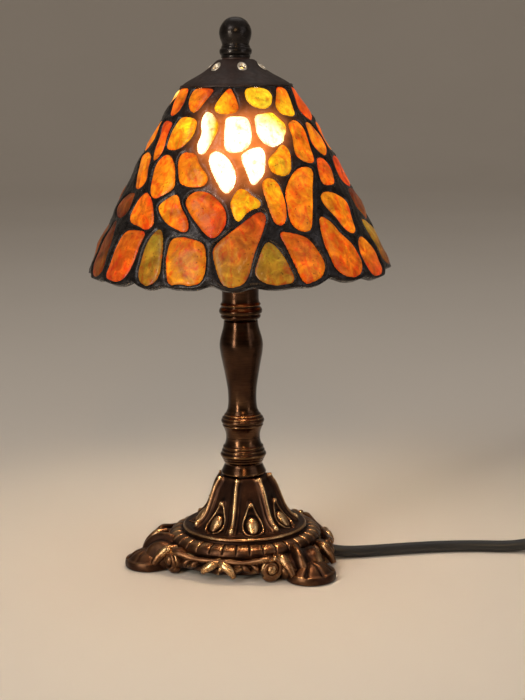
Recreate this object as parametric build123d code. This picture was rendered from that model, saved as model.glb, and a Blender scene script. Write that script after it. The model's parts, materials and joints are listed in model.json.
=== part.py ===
"""Amber mosaic table lamp: cast three-footed base, turned stem, harp, small globe bulb and a leaded shade.

Millimetres.  +Z is up and the origin is the middle of the footprint, on the table.  The cord leaves
the base towards +X and the front of the lamp faces -Y.  Each function builds one physical piece.
"""

import os
from math import asin, cos, degrees, pi, radians, sin, tan

from build123d import *

os.makedirs("parts", exist_ok=True)

# ---- driving dimensions -------------------------------------------------------------------------
TOTAL_HEIGHT = 300.0  # table to the top of the finial
CLEAR = 0.35  # gap between pieces that move past each other

# base
PAD_HEIGHT = 1.2
PAD_RADIUS = 8.0
FOOT_ANGLES = (-48.0, -168.0, 72.0)  # directions of the three feet
FOOT_TIP_RADIUS = 69.0  # reach of the toes from the axis
TOE_HALVES = (14, 15, 9)  # half of a toe's length, width and height
VOLUTE_SPREAD = 26.0  # angle from a foot to the scroll beside it
VOLUTE_RADIUS = 49.0
FLUTE_COUNT = 7
FLUTE_START = -79.6  # direction of the front flute
CASTING_TOP = 49.0
CAVITY_LEDGE = 24.0  # height of the ledge that the weight is pulled against
WEIGHT_BOTTOM = 17.0
WEIGHT_RADIUS = 22.5

# stem
ROD_RADIUS = 5.0  # hollow M10 rod through the whole stem
ROD_BORE = 3.5
ROD_FIT = 0.1
ROD_BOTTOM = 11.5
ROD_TOP = 163.0
STEM_JOINTS = (CASTING_TOP, 70.0, 84.5, 136.0, 158.0)  # faces between the turned pieces

# bulb and lampholder
GLOBE_RADIUS = 22.5
GLOBE_HEIGHT = 222.0
LAMP_CAP_RADIUS = 6.85  # E14
LAMP_CAP_BOTTOM = 168.5
LAMP_CAP_TOP = 196.0
HOLDER_RADIUS = 13.5
HOLDER_TOP = 192.0
HOLDER_BORE = LAMP_CAP_RADIUS + CLEAR

# harp
HARP_WIRE = 1.5
HARP_FOOT = 18.0
HARP_WIDTH = 30.0
SEAT_TOP = 274.7
STUD_RADIUS = 3.0  # M6 x 1
STUD_TOP = 288.6

# shade
CAP_TOP = 277.6
CAP_THICKNESS = 1.4
SHADE_OUTLINE = ((29.9, 262.6), (39.6, 247.5), (50.9, 228.0), (61.9, 208.0), (73.6, 185.0), (83.2, 163.5))
STONES_PER_ROW = (12, 14, 16, 17, 19)
SHADE_WALL = 4.2
WEB_SECTORS = 16
LEAD_HALF_WIDTH = 1.0
STONE_PROUD = 0.4
VENT_COUNT = 6
VENT_RADIUS = 14.5
VENT_START = -77.0  # direction of the first vent
VENT_SIZE = 2.1  # radius

# finial
FINIAL_WASHER = 0.8
BALL_RADIUS = 8.6

# cord
CORD_RADIUS = 3.25
EXIT_ANGLE = -8.5  # direction in which the cord leaves the base
EXIT_RADIUS = 44.0
EXIT_HEIGHT = 5.7
SWITCH_LENGTH, SWITCH_WIDTH, SWITCH_HEIGHT = 54.0, 24.0, 14.0
SWITCH_CENTRE = (199.0, -5.0)
SWITCH_MID = SWITCH_HEIGHT / 2
CASE_WALL = 1.6
ROCKER_TILT = 8.0
PLUG_FACE, PLUG_BACK, PLUG_Y = 197.0, 232.0, -68.0
PLUG_WIDTH, PLUG_HEIGHT = 35.3, 13.7
PIN_SPACING, PIN_RADIUS, PIN_LENGTH = 19.0, 2.0, 19.0
RELIEF_LENGTH = 20.0
COIL_CENTRE = (300.0, -22.0)
COIL_OUTER, COIL_INNER, COIL_HEIGHT = 49.5, 21.5, 13.0

# Route of the cord from the base to the switch, from the switch to the coil, and on to the plug.
LEAD_ROUTE = [
    (EXIT_RADIUS * cos(radians(EXIT_ANGLE)), EXIT_RADIUS * sin(radians(EXIT_ANGLE)), EXIT_HEIGHT),
    (51.5, -8.4, 4.0),
    (64.0, -7.6, 3.3),
    (84.0, -4.6, 3.3),
    (106.0, -1.6, 3.3),
    (130.0, -1.2, 3.3),
    (150.0, -4.6, 3.3),
    (163.0, -5.4, 5.2),
    (172.0, -5.0, 7.0),
]
MID_ROUTE = [(226.0, -5.0, 7.0), (246.0, -3.5, 4.0), (265.0, 10.0, 3.3), (282.8, 20.65, 3.3)]
TAIL_ROUTE = [(300.0, -68.0, 9.75), (284.0, -69.0, 8.6), (268.0, -67.2, 7.3), (252.0, -68.0, 6.85)]


# ---- helpers ------------------------------------------------------------------------------------
def save(name, shape):
    """Write one node; a list becomes a group of separate solids."""
    if isinstance(shape, (list, tuple)):
        shape = Compound(children=list(shape))
    export_step(shape, f"parts/{name}.step")


def turned(points):
    """A solid of revolution about Z from (radius, height) points."""
    outline = Polyline([(r, 0, z) for r, z in points], close=True)
    return Solid() + revolve(make_face(outline), Axis.Z)


def disc(radius, low, high, bore=0.0):
    """A round plate about Z between two heights, with an optional bore."""
    plate = Pos(0, 0, (low + high) / 2) * Cylinder(radius, high - low)
    return plate - Pos(0, 0, (low + high) / 2) * Cylinder(bore, high - low + 2) if bore else plate


def rod_hole(low, high):
    return Pos(0, 0, (low + high) / 2) * Cylinder(ROD_RADIUS + ROD_FIT, high - low + 2)


def box_between(low, high):
    size = [b - a for a, b in zip(low, high)]
    middle = [(a + b) / 2 for a, b in zip(low, high)]
    return Pos(*middle) * Box(*size)


def on_exit_line(shape):
    """Turn a piece built along +X onto the line on which the cord leaves the base."""
    return Rot(0, 0, EXIT_ANGLE) * shape


def cord_tube(name, route):
    """A round tube of straight runs joined by tangent arcs as large as the runs allow."""
    points = [Vector(*p) for p in route]
    radii = []
    for before, here, after in zip(points, points[1:], points[2:]):
        first, second = here - before, after - here
        half_turn = radians(first.get_angle(second)) / 2
        radii.append(0.45 * min(first.length, second.length) / tan(half_turn))
    path = FilletPolyline(*points, radius=radii)
    section = Plane(path @ 0, z_dir=path % 0) * Circle(CORD_RADIUS)
    tube = sweep(section, path=path)
    expected = pi * CORD_RADIUS**2 * path.length
    print(name, "radii", [round(r) for r in radii], "length", round(path.length, 1),
          "volume over section x length", round(tube.volume / expected, 4))
    return tube


# ---- base ---------------------------------------------------------------------------------------
def foot(angle):
    """One scrolled foot: a low toe, a raised knuckle and a scroll on each side."""
    toe = Pos(FOOT_TIP_RADIUS - TOE_HALVES[0], 0, PAD_HEIGHT) * scale(Sphere(1), by=TOE_HALVES)
    knuckle = Pos(44, 0, 4) * scale(Sphere(1), by=(13, 14, 14))
    web = box_between((34, -10, PAD_HEIGHT), (56, 10, 9))
    lump = toe + knuckle + web
    for side in (-1, 1):
        scroll = Pos(VOLUTE_RADIUS - 5, 0, 7.2) * Rot(0, 90, 0) * Cylinder(6.1, 13)
        lump += Rot(0, 0, side * VOLUTE_SPREAD) * scroll
    lump &= box_between((20, -40, PAD_HEIGHT), (90, 40, 40))
    return Rot(0, 0, angle) * lump


def base_casting():
    """Hollow cast base: fluted cone, two rings, a short skirt and three feet."""
    outside = [
        (0, CASTING_TOP), (12.4, CASTING_TOP), (17.0, 42.3), (20.3, 34.0), (22.8, 28.0), (28.0, 22.0),
        (32.0, 19.8), (34.5, 19.8), (35.6, 18.4), (37.0, 17.4), (41.5, 16.0), (43.0, 13.0), (42.0, 11.5),
        (45.0, 8.0), (44.5, 4.0), (0, 4.0),
    ]
    body = turned(outside)
    for angle in FOOT_ANGLES:
        body += foot(angle)
    flute = Pos(25.8, 0, 33.5) * Rot(0, -30, 0) * Cylinder(6.2, 24)
    egg = Pos(25.6, 0, 25.6) * Rot(0, -38, 0) * scale(Sphere(1), by=(2.4, 2.6, 4.4))
    for k in range(FLUTE_COUNT):
        turn = Rot(0, 0, FLUTE_START + 360 / FLUTE_COUNT * k)
        body -= turn * flute
        body += turn * egg
    cavity = turned([
        (0, 0), (38.5, 0), (38.5, 9.0), (30.0, 13.0), (WEIGHT_RADIUS + 0.5, 16.0),
        (WEIGHT_RADIUS + 0.5, CAVITY_LEDGE), (16.5, CAVITY_LEDGE), (9.0, 41.0), (0, 41.0),
    ])
    notch = on_exit_line(box_between((33, -5.6, -1), (52, 5.6, 11.6)))
    return body - cavity - notch - rod_hole(40, 50)


def felt_pads():
    pad = Pos(54, 0, PAD_HEIGHT / 2) * Cylinder(PAD_RADIUS, PAD_HEIGHT)
    return [Rot(0, 0, angle) * pad for angle in FOOT_ANGLES]


def base_weight():
    body = disc(WEIGHT_RADIUS, WEIGHT_BOTTOM, CAVITY_LEDGE, ROD_RADIUS + ROD_FIT)
    return body - on_exit_line(Pos(17, -8.5, WEIGHT_BOTTOM) * Cylinder(1.5, 8))


def lock_washer():
    return disc(9.0, WEIGHT_BOTTOM - 1, WEIGHT_BOTTOM, ROD_RADIUS + ROD_FIT)


def rod_nut():
    nut = extrude(RegularPolygon(7.0, 6, major_radius=False), 3.5)
    return Pos(0, 0, WEIGHT_BOTTOM - 4.5) * nut - rod_hole(10, 20)


def threaded_rod():
    return disc(ROD_RADIUS, ROD_BOTTOM, ROD_TOP, ROD_BORE)


def cord_clamp():
    """Clip that hangs from the weight and grips the lead below it."""
    ring = Pos(17, 0, EXIT_HEIGHT) * Rot(0, 90, 0) * Cylinder(5.2, 6)
    post = box_between((14, -4, EXIT_HEIGHT + 2), (20, 4, WEIGHT_BOTTOM))
    tab = box_between((14, -11, WEIGHT_BOTTOM - 2.5), (19.5, -3, WEIGHT_BOTTOM))
    clamp = ring + post + tab
    clamp -= Pos(17, 0, EXIT_HEIGHT) * Rot(0, 90, 0) * Cylinder(CORD_RADIUS, 10)
    clamp -= Pos(17, -8.5, WEIGHT_BOTTOM) * Cylinder(1.5, 12)
    return on_exit_line(clamp)


def clamp_screw():
    head = Pos(17, -8.5, WEIGHT_BOTTOM - 3.4) * Cylinder(2.8, 1.8)
    shank = Pos(17, -8.5, WEIGHT_BOTTOM + 0.5) * Cylinder(1.5, 6)
    return on_exit_line(head + shank)


def cord_bushing():
    """Tapered rubber sleeve that guides the cord out through the notch in the skirt."""
    length = EXIT_RADIUS - 22
    sleeve = Pos(22 + length / 2, 0, EXIT_HEIGHT) * Rot(0, 90, 0) * Cone(5.4, 4.3, length)
    bore = Pos(22 + length / 2, 0, EXIT_HEIGHT) * Rot(0, 90, 0) * Cylinder(CORD_RADIUS, length + 2)
    return on_exit_line(sleeve - bore)


def inner_lead():
    """The cord inside the lamp: in through the bushing, up through the hollow rod."""
    bend = ROD_BOTTOM - EXIT_HEIGHT
    path = FilletPolyline((EXIT_RADIUS, 0, EXIT_HEIGHT), (0, 0, EXIT_HEIGHT), (0, 0, ROD_TOP), radius=bend)
    section = Plane(path @ 0, z_dir=path % 0) * Circle(CORD_RADIUS)
    return on_exit_line(sweep(section, path=path))


# ---- stem ---------------------------------------------------------------------------------------
def stem_piece(points, low, high):
    outline = [(0, low), *points, (0, high)]
    return turned(outline) - rod_hole(low, high)


def foot_collar():
    low, high = STEM_JOINTS[0], STEM_JOINTS[1]
    points = [
        (12.4, low), (12.4, 50.0), (11.3, 52.4), (10.5, 54.6), (11.3, 57.0), (12.3, 58.6), (12.9, 60.2),
        (12.1, 62.0), (11.1, 64.0), (10.0, 66.8), (9.5, high),
    ]
    return stem_piece(points, low, high)


def stem_spool():
    low, high = STEM_JOINTS[1], STEM_JOINTS[2]
    points = [
        (9.5, low), (10.2, 73.0), (11.0, 75.6), (11.1, 77.6), (12.0, 79.4), (11.6, 81.2), (10.6, 82.6),
        (9.0, high),
    ]
    return stem_piece(points, low, high)


def baluster():
    low, high = STEM_JOINTS[2], STEM_JOINTS[3]
    curve = Spline([
        (8.7, 0, low), (7.8, 0, 91.5), (8.5, 0, 99.5), (10.0, 0, 108.0), (12.1, 0, 121.5), (10.9, 0, 128.5),
        (9.4, 0, high),
    ])
    sides = Polyline([(9.4, 0, high), (0, 0, high), (0, 0, low), (8.7, 0, low)])
    body = Solid() + revolve(make_face(curve + sides), Axis.Z)
    return body - rod_hole(low, high)


def top_collar():
    low, high = STEM_JOINTS[3], STEM_JOINTS[4]
    points = [
        (9.2, low), (10.9, 137.8), (11.6, 139.6), (12.0, 141.2), (11.2, 143.4), (10.8, 146.6), (10.2, 150.0),
        (10.4, 154.0), (11.4, 155.6), (11.5, 156.6), (10.2, high),
    ]
    return stem_piece(points, low, high)


# ---- lampholder and bulb ------------------------------------------------------------------------
def harp_saddle():
    low = STEM_JOINTS[4]
    bar = box_between((-HARP_FOOT - 3, -7, low), (HARP_FOOT + 3, 7, low + 2))
    return bar - rod_hole(low, low + 2)


def socket_shell():
    low = STEM_JOINTS[4] + 2
    can = disc(HOLDER_RADIUS, low, HOLDER_TOP) - disc(HOLDER_RADIUS - 1.4, low + 1.4, HOLDER_TOP + 1)
    return can - rod_hole(low, low + 2)


def socket_insulator():
    low, inner = ROD_TOP, HOLDER_RADIUS - 1.5
    body = disc(inner, low, HOLDER_TOP - 1)
    body -= disc(HOLDER_BORE, low + 5.5, HOLDER_TOP)
    body -= disc(HOLDER_BORE + 0.5, 172, 187)
    return body - disc(3.0, low + 1, low + 6)


def socket_thread():
    return disc(HOLDER_BORE + 0.5, 172, 187, HOLDER_BORE)


def centre_contact():
    return disc(3.0, ROD_TOP + 1, LAMP_CAP_BOTTOM - 1.5)


def bulb_contact():
    return disc(2.6, LAMP_CAP_BOTTOM - 1.5, LAMP_CAP_BOTTOM)


def bulb_cap():
    return turned([
        (0, LAMP_CAP_BOTTOM), (3.4, LAMP_CAP_BOTTOM), (5.0, 171.0), (LAMP_CAP_RADIUS, 172.0),
        (LAMP_CAP_RADIUS, 192.5), (8.6, 193.5), (8.6, LAMP_CAP_TOP), (7.6, LAMP_CAP_TOP),
        (7.6, 194.2), (0, 194.2),
    ])


def globe(radius, neck):
    """Ball of the bulb, running down into its neck."""
    ball = Pos(0, 0, GLOBE_HEIGHT) * Sphere(radius)
    neck_height = GLOBE_HEIGHT - 22 - LAMP_CAP_TOP + 12
    return ball + Pos(0, 0, LAMP_CAP_TOP + neck_height / 2) * Cone(neck, neck + 5, neck_height)


def bulb_glass():
    inside = globe(GLOBE_RADIUS - 1.0, 7.4) + disc(7.4, LAMP_CAP_TOP - 1, LAMP_CAP_TOP + 1)
    return globe(GLOBE_RADIUS, 8.4) - inside


def bulb_filament():
    """Glass stem with two support wires and the coiled filament between them."""
    stem = disc(2.4, 194.2, 210)
    wires = [Pos(x, 0, 215) * Rot(0, tilt, 0) * Cylinder(0.5, 12) for x, tilt in ((-3.2, -22), (3.2, 22))]
    coil = Pos(0, 0, 220.6) * Rot(0, 90, 0) * Cylinder(0.9, 11.5)
    return stem + wires + coil


# ---- harp ---------------------------------------------------------------------------------------
def harp_arm(side):
    low = STEM_JOINTS[4] + 2
    points = [
        (HARP_FOOT, low), (HARP_FOOT, 178), (HARP_WIDTH, 202), (HARP_WIDTH, 246), (8.5, 268),
        (8.5, SEAT_TOP - 1.5),
    ]
    path = FilletPolyline(*[(side * x, 0, z) for x, z in points], radius=[10, 10, 10, 2.5])
    section = Plane(path @ 0, z_dir=path % 0) * Circle(HARP_WIRE)
    return sweep(section, path=path)


def harp():
    """Bent wire frame that carries the shade, brazed to a round seat."""
    return disc(10.5, SEAT_TOP - 3, SEAT_TOP, STUD_RADIUS) + harp_arm(1) + harp_arm(-1)


def harp_stud():
    return disc(STUD_RADIUS, SEAT_TOP - 3, STUD_TOP)


# ---- shade --------------------------------------------------------------------------------------
def seat_washer():
    return disc(9.0, SEAT_TOP, CAP_TOP - CAP_THICKNESS, STUD_RADIUS + CLEAR)


def shade_cap():
    """Low metal cone that closes the top of the shade, with a ring of vent holes."""
    top, low = CAP_TOP - CAP_THICKNESS, SHADE_OUTLINE[0][1]
    cap = turned([
        (0, CAP_TOP), (9.6, CAP_TOP), (14.0, 274.7), (20.2, 270.0), (25.3, 266.9), (29.1, 264.4),
        (29.9, low), (25.7, low), (25.4, 264.6), (19.4, 268.4), (13.4, 273.0), (9.2, top), (0, top),
    ])
    cap -= disc(STUD_RADIUS + CLEAR, top - 1, CAP_TOP + 1)
    for k in range(VENT_COUNT):
        turn = Rot(0, 0, VENT_START + 360 / VENT_COUNT * k)
        cap -= turn * Pos(VENT_RADIUS, 0, 273.5) * Cylinder(VENT_SIZE, 12)
    return cap


def cone_band(row, proud=0.0):
    """Ring of shade wall between two rows' heights."""
    (r_top, z_top), (r_low, z_low) = SHADE_OUTLINE[row], SHADE_OUTLINE[row + 1]
    return turned([
        (r_top + proud, z_top), (r_low + proud, z_low), (r_low - SHADE_WALL - proud, z_low),
        (r_top - SHADE_WALL - proud, z_top),
    ])


def stone_row(row):
    """The stones of one row: sectors of the shade wall, staggered from row to row."""
    (r_top, z_top), (r_low, z_low) = SHADE_OUTLINE[row], SHADE_OUTLINE[row + 1]
    lead = LEAD_HALF_WIDTH

    def radius_at(z):
        return r_top + (r_low - r_top) * (z_top - z) / (z_top - z_low)

    high, low = z_top - lead, z_low + lead
    outline = Polyline([
        (radius_at(high) + STONE_PROUD, 0, high), (radius_at(low) + STONE_PROUD, 0, low),
        (radius_at(low) - SHADE_WALL - STONE_PROUD, 0, low),
        (radius_at(high) - SHADE_WALL - STONE_PROUD, 0, high),
    ], close=True)
    count = STONES_PER_ROW[row]
    pitch = 360 / count
    gap = degrees(asin(2 * lead / ((r_top + r_low) / 2)))
    stones = []
    for k in range(count):
        start = (k + 0.5 * (row % 2)) * pitch + gap / 2
        face = Rot(0, 0, start) * make_face(outline)
        stones.append(revolve(face, Axis.Z, revolution_arc=pitch - gap).solid())
    return stones


def solder_web(rows):
    """The leaded network: the shade wall with a window for each stone, in sectors that meet face to face."""
    web = cone_band(0)
    for row in range(1, len(STONES_PER_ROW)):
        web += cone_band(row)
    web -= [stone for row in rows for stone in row]
    reach, half = 2 * SHADE_OUTLINE[-1][0], 180 / WEB_SECTORS
    corners = [(0, 0, 0)] + [(reach, side * reach * tan(radians(half)), 0) for side in (-1, 1)]
    wedge = extrude(make_face(Polyline(corners, close=True)), TOTAL_HEIGHT)
    return [(web & Rot(0, 0, 2 * half * (k + 0.5)) * wedge).solid() for k in range(WEB_SECTORS)]


# ---- finial -------------------------------------------------------------------------------------
def finial_washer():
    return disc(7.4, CAP_TOP, CAP_TOP + FINIAL_WASHER, STUD_RADIUS + CLEAR)


def finial():
    low = CAP_TOP + FINIAL_WASHER
    ball_height = TOTAL_HEIGHT - BALL_RADIUS
    body = turned([
        (0, low), (7.4, low), (7.6, 279.6), (8.4, 281.0), (8.4, 282.6), (7.5, 284.0), (7.2, 285.6),
        (6.9, 286.6), (0, 286.6),
    ])
    body += Pos(0, 0, ball_height) * Sphere(BALL_RADIUS)
    return body - disc(STUD_RADIUS + 0.06, low - 1, STUD_TOP + 0.3)


# ---- inline switch ------------------------------------------------------------------------------
def at_switch(shape):
    return Pos(SWITCH_CENTRE[0], SWITCH_CENTRE[1], 0) * shape


def switch_block():
    """Outer form of the switch, rounded along its long edges."""
    x, y = SWITCH_LENGTH / 2, SWITCH_WIDTH / 2
    block = box_between((-x, -y, 0), (x, y, SWITCH_HEIGHT))
    return fillet(block.edges().filter_by(Axis.Z), 6)


def switch_hollow():
    x, y = SWITCH_LENGTH / 2 - CASE_WALL - 2, SWITCH_WIDTH / 2 - CASE_WALL
    return box_between((-x, -y, CASE_WALL), (x, y, SWITCH_HEIGHT - CASE_WALL))


def switch_bosses(low, high):
    return [Pos(x, y, (low + high) / 2) * Cylinder(2.8, high - low) for x, y in ((-19, 7.4), (19, -7.4))]


def switch_holes(low, high, radius):
    return [Pos(x, y, (low + high) / 2) * Cylinder(radius, high - low) for x, y in ((-19, 7.4), (19, -7.4))]


def cord_way():
    return Pos(0, 0, SWITCH_MID) * Rot(0, 90, 0) * Cylinder(CORD_RADIUS, SWITCH_LENGTH + 2)


def switch_case_lower():
    half = box_between((-40, -20, -1), (40, 20, SWITCH_MID))
    case = ((switch_block() - switch_hollow()) & half) + switch_bosses(CASE_WALL, SWITCH_MID)
    return at_switch(case - cord_way() - switch_holes(-1, 8, 1.25) - switch_holes(-1, 1.4, 2.4))


def switch_case_upper():
    half = box_between((-40, -20, SWITCH_MID), (40, 20, SWITCH_HEIGHT + 1))
    case = ((switch_block() - switch_hollow()) & half) + switch_bosses(SWITCH_MID, SWITCH_HEIGHT - CASE_WALL)
    case -= box_between((-11.5, -6.0, SWITCH_HEIGHT - 4), (11.5, 6.0, SWITCH_HEIGHT + 1))
    for side in (-1, 1):
        low, high = (-2.5, side * 8 - 1.6, SWITCH_MID + 1), (2.5, side * 8 + 1.6, SWITCH_HEIGHT - CASE_WALL)
        case += box_between(low, high)
    case -= Pos(0, 0, 10.5) * Rot(90, 0, 0) * Cylinder(0.9, 19.2)
    return at_switch(case - cord_way() - switch_holes(6, 11, 1.25))


def rocker_pin():
    return at_switch(Pos(0, 0, 10.5) * Rot(90, 0, 0) * Cylinder(0.9, 19.2))


def switch_rocker():
    """Rocker, tilted to its on position."""
    outline = Polyline([
        (-10.3, 0, 1.2), (-10.3, 0, 4.6), (0, 0, 3.6), (10.3, 0, 4.6), (10.3, 0, 1.2), (3.0, 0, -2.4),
        (-3.0, 0, -2.4),
    ], close=True)
    body = extrude(make_face(outline), 5.3, dir=(0, 1, 0), both=True)
    body -= Rot(90, 0, 0) * Cylinder(0.96, 20)
    return at_switch(Pos(0, 0, 10.5) * Rot(0, ROCKER_TILT, 0) * body)


def switch_contacts():
    """The two brass terminal blocks that the switched wire is clamped in."""
    return [at_switch(Pos(x, 0, 3.4) * Box(6, 7, 3.6)) - at_switch(cord_way()) for x in (-12, 12)]


def switch_screws():
    screws = []
    for head, shank in zip(switch_holes(0.1, 1.4, 2.3), switch_holes(1.4, 10.5, 1.25)):
        screws.append(at_switch(head + shank))
    return screws


# ---- plug and coil ------------------------------------------------------------------------------
def plug_body():
    """Flat two-pin plug: a moulded wedge that narrows towards the cord."""
    w = PLUG_WIDTH / 2
    outline = Polyline([
        (PLUG_FACE, PLUG_Y - w, 0), (PLUG_FACE, PLUG_Y + w, 0), (PLUG_FACE + 14, PLUG_Y + w, 0),
        (PLUG_BACK, PLUG_Y + 7, 0), (PLUG_BACK, PLUG_Y - 7, 0), (PLUG_FACE + 14, PLUG_Y - w, 0),
    ], close=True)
    body = extrude(make_face(outline), PLUG_HEIGHT)
    return fillet(body.edges().filter_by(Axis.Z), 3)


def plug_relief():
    middle = (PLUG_BACK + RELIEF_LENGTH / 2, PLUG_Y, PLUG_HEIGHT / 2)
    return Pos(*middle) * Rot(0, 90, 0) * Cone(5.6, 4.0, RELIEF_LENGTH)


def plug_pins():
    pins = []
    for side in (-1, 1):
        middle = (PLUG_FACE - PIN_LENGTH / 2, PLUG_Y + side * PIN_SPACING / 2, PLUG_HEIGHT / 2)
        pin = Pos(*middle) * Rot(0, 90, 0) * Cylinder(PIN_RADIUS, PIN_LENGTH)
        pins.append(fillet(pin.edges().sort_by(Axis.X)[0], 1.2))
    return pins


def cord_coil():
    """Outer form of the stored turns of cord."""
    ring = disc(COIL_OUTER, 0, COIL_HEIGHT, COIL_INNER)
    return Pos(COIL_CENTRE[0], COIL_CENTRE[1], 0) * fillet(ring.edges(), CORD_RADIUS - 0.25)


# ---- write the nodes ----------------------------------------------------------------------------
amber_rows = [stone_row(row) for row in range(len(STONES_PER_ROW))]
for row, stones in enumerate(amber_rows, start=1):
    save(f"amber_row_{row}", stones)
save("solder_web", solder_web(amber_rows))

save("cord_lead", cord_tube("cord_lead", LEAD_ROUTE))
save("cord_mid", cord_tube("cord_mid", MID_ROUTE))
save("cord_tail", cord_tube("cord_tail", TAIL_ROUTE))

PIECES = (
    base_casting, felt_pads, base_weight, lock_washer, rod_nut, threaded_rod, cord_clamp, clamp_screw,
    cord_bushing, inner_lead, foot_collar, stem_spool, baluster, top_collar, harp_saddle, socket_shell,
    socket_insulator, socket_thread, centre_contact, bulb_contact, bulb_cap, bulb_glass, bulb_filament,
    harp, harp_stud, seat_washer, shade_cap, finial_washer, finial, switch_case_lower, switch_case_upper,
    rocker_pin, switch_rocker, switch_contacts, switch_screws, plug_body, plug_relief, plug_pins, cord_coil,
)
for piece in PIECES:
    save(piece.__name__, piece())
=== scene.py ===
"""Looks of the amber mosaic table lamp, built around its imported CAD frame.

Lengths are millimetres until a mesh or curve is made, where MM turns them into metres.  +Z is up, the
front of the lamp faces -Y and the cord leaves towards +X.  Bearings are degrees from the front, + to +X.
"""

import json
import math
import random

import bpy
import numpy as np
from mathutils import Matrix


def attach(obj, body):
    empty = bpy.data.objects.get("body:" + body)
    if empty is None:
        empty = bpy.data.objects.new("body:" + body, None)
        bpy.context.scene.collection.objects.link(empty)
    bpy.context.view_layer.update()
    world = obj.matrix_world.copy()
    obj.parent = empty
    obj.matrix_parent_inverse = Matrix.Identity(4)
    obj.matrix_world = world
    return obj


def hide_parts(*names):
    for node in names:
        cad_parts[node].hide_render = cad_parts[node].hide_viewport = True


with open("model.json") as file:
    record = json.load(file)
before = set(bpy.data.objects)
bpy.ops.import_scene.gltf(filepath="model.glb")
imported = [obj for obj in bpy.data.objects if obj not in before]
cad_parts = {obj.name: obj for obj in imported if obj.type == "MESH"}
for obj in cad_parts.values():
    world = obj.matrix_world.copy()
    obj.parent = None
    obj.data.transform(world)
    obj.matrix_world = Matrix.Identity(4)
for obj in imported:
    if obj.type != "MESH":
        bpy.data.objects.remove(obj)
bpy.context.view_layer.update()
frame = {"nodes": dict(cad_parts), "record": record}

MM = 0.001
rng = random.Random(7)


# ---- camera -------------------------------------------------------------------------------------
CAMERA_PLACE = (0.0, -0.791, 0.261)
CAMERA_PITCH = 10.19
CAMERA_YAW = 0.85
CAMERA_ROLL = -0.95
CAMERA_LENS = 74.3


def add_camera():
    """Camera at the height of the shade's top, tilted down."""
    pitch, yaw, roll = (math.radians(a) for a in (CAMERA_PITCH, CAMERA_YAW, CAMERA_ROLL))
    ahead = np.array([math.sin(yaw) * math.cos(pitch), math.cos(yaw) * math.cos(pitch), -math.sin(pitch)])
    level = np.array([math.cos(yaw), -math.sin(yaw), 0.0])
    upright = np.cross(level, ahead)
    right = level * math.cos(roll) + upright * math.sin(roll)
    up = upright * math.cos(roll) - level * math.sin(roll)
    data = bpy.data.cameras.new("camera")
    data.lens = CAMERA_LENS
    data.sensor_width = 36.0
    data.clip_start = 0.01
    camera = bpy.data.objects.new("camera", data)
    bpy.context.collection.objects.link(camera)
    columns = [(*right, 0), (*up, 0), (*(-ahead), 0), (*CAMERA_PLACE, 1)]
    camera.matrix_world = Matrix(columns).transposed()
    bpy.context.scene.camera = camera


add_camera()


# ---- mesh helpers -------------------------------------------------------------------------------
def new_mesh(name, points, faces, values=None, smooth=True):
    """A mesh object from points in mm; values holds named numbers or colours for each point."""
    mesh = bpy.data.meshes.new(name)
    mesh.from_pydata([tuple(p) for p in np.asarray(points, float) * MM], [], [tuple(f) for f in faces])
    for key, numbers in (values or {}).items():
        numbers = np.asarray(numbers, float)
        if numbers.ndim == 1:
            layer = mesh.attributes.new(key, "FLOAT", "POINT")
            layer.data.foreach_set("value", numbers)
        else:
            layer = mesh.attributes.new(key, "FLOAT_COLOR", "POINT")
            layer.data.foreach_set("color", np.hstack([numbers, np.ones((len(numbers), 1))]).ravel())
    mesh.polygons.foreach_set("use_smooth", [smooth] * len(mesh.polygons))
    mesh.update()
    obj = bpy.data.objects.new(name, mesh)
    bpy.context.collection.objects.link(obj)
    return obj


def finish_piece(obj, body, look, stands_for=()):
    """Give a piece its material, its body and the CAD nodes that it stands for."""
    obj.data.materials.append(look)
    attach(obj, body)
    if stands_for:
        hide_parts(*stands_for)
    return obj


class Builder:
    """Collects patches of one mesh, with a number 'rub' for each point: how bare the high spots are."""

    def __init__(self):
        self.points, self.faces, self.rub = [], [], []

    def add(self, points, faces, rub=0.0):
        start = len(self.points)
        points = np.asarray(points, float)
        self.points.extend(map(tuple, points))
        self.faces.extend(tuple(i + start for i in face) for face in faces)
        self.rub.extend(np.broadcast_to(np.asarray(rub, float), (len(points),)))

    def object(self, name, smooth=True):
        return new_mesh(name, self.points, self.faces, {"rub": self.rub}, smooth)

    def worn_object(self, name, spread=14, depth=0.30):
        """As object(), with rub raised where the surface stands out and lowered in its hollows."""
        points = np.array(self.points)
        pairs = set()
        for face in self.faces:
            if len(face) < 10:
                for a, b in zip(face, face[1:] + face[:1]):
                    pairs.add((a, b) if a < b else (b, a))
        first, second = np.array(sorted(pairs)).T
        count = np.bincount(first, minlength=len(points)) + np.bincount(second, minlength=len(points))
        count = np.maximum(count, 1)[:, None]
        level = points.copy()
        for _ in range(spread):
            total = np.stack([np.bincount(first, level[second, k], len(points))
                              + np.bincount(second, level[first, k], len(points)) for k in range(3)], 1)
            level = 0.4 * level + 0.6 * np.where(count > 1, total / count, level)
        obj = new_mesh(name, points, self.faces)
        normals = np.empty(len(points) * 3)
        obj.data.vertices.foreach_get("normal", normals)
        stands = ((points - level) * normals.reshape(-1, 3)).sum(axis=1) / depth
        rub = np.clip(0.32 + 0.55 * np.array(self.rub) + 0.42 * np.clip(stands, -1, 1), 0, 1)
        layer = obj.data.attributes.new("rub", "FLOAT", "POINT")
        layer.data.foreach_set("value", rub)
        return obj


def grid_faces(rows, columns, flip=False):
    """Quads between closed rings of points."""
    faces = []
    for i in range(rows - 1):
        for j in range(columns):
            k = (j + 1) % columns
            face = (i * columns + j, i * columns + k, (i + 1) * columns + k, (i + 1) * columns + j)
            faces.append(face[::-1] if flip else face)
    return faces


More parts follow.
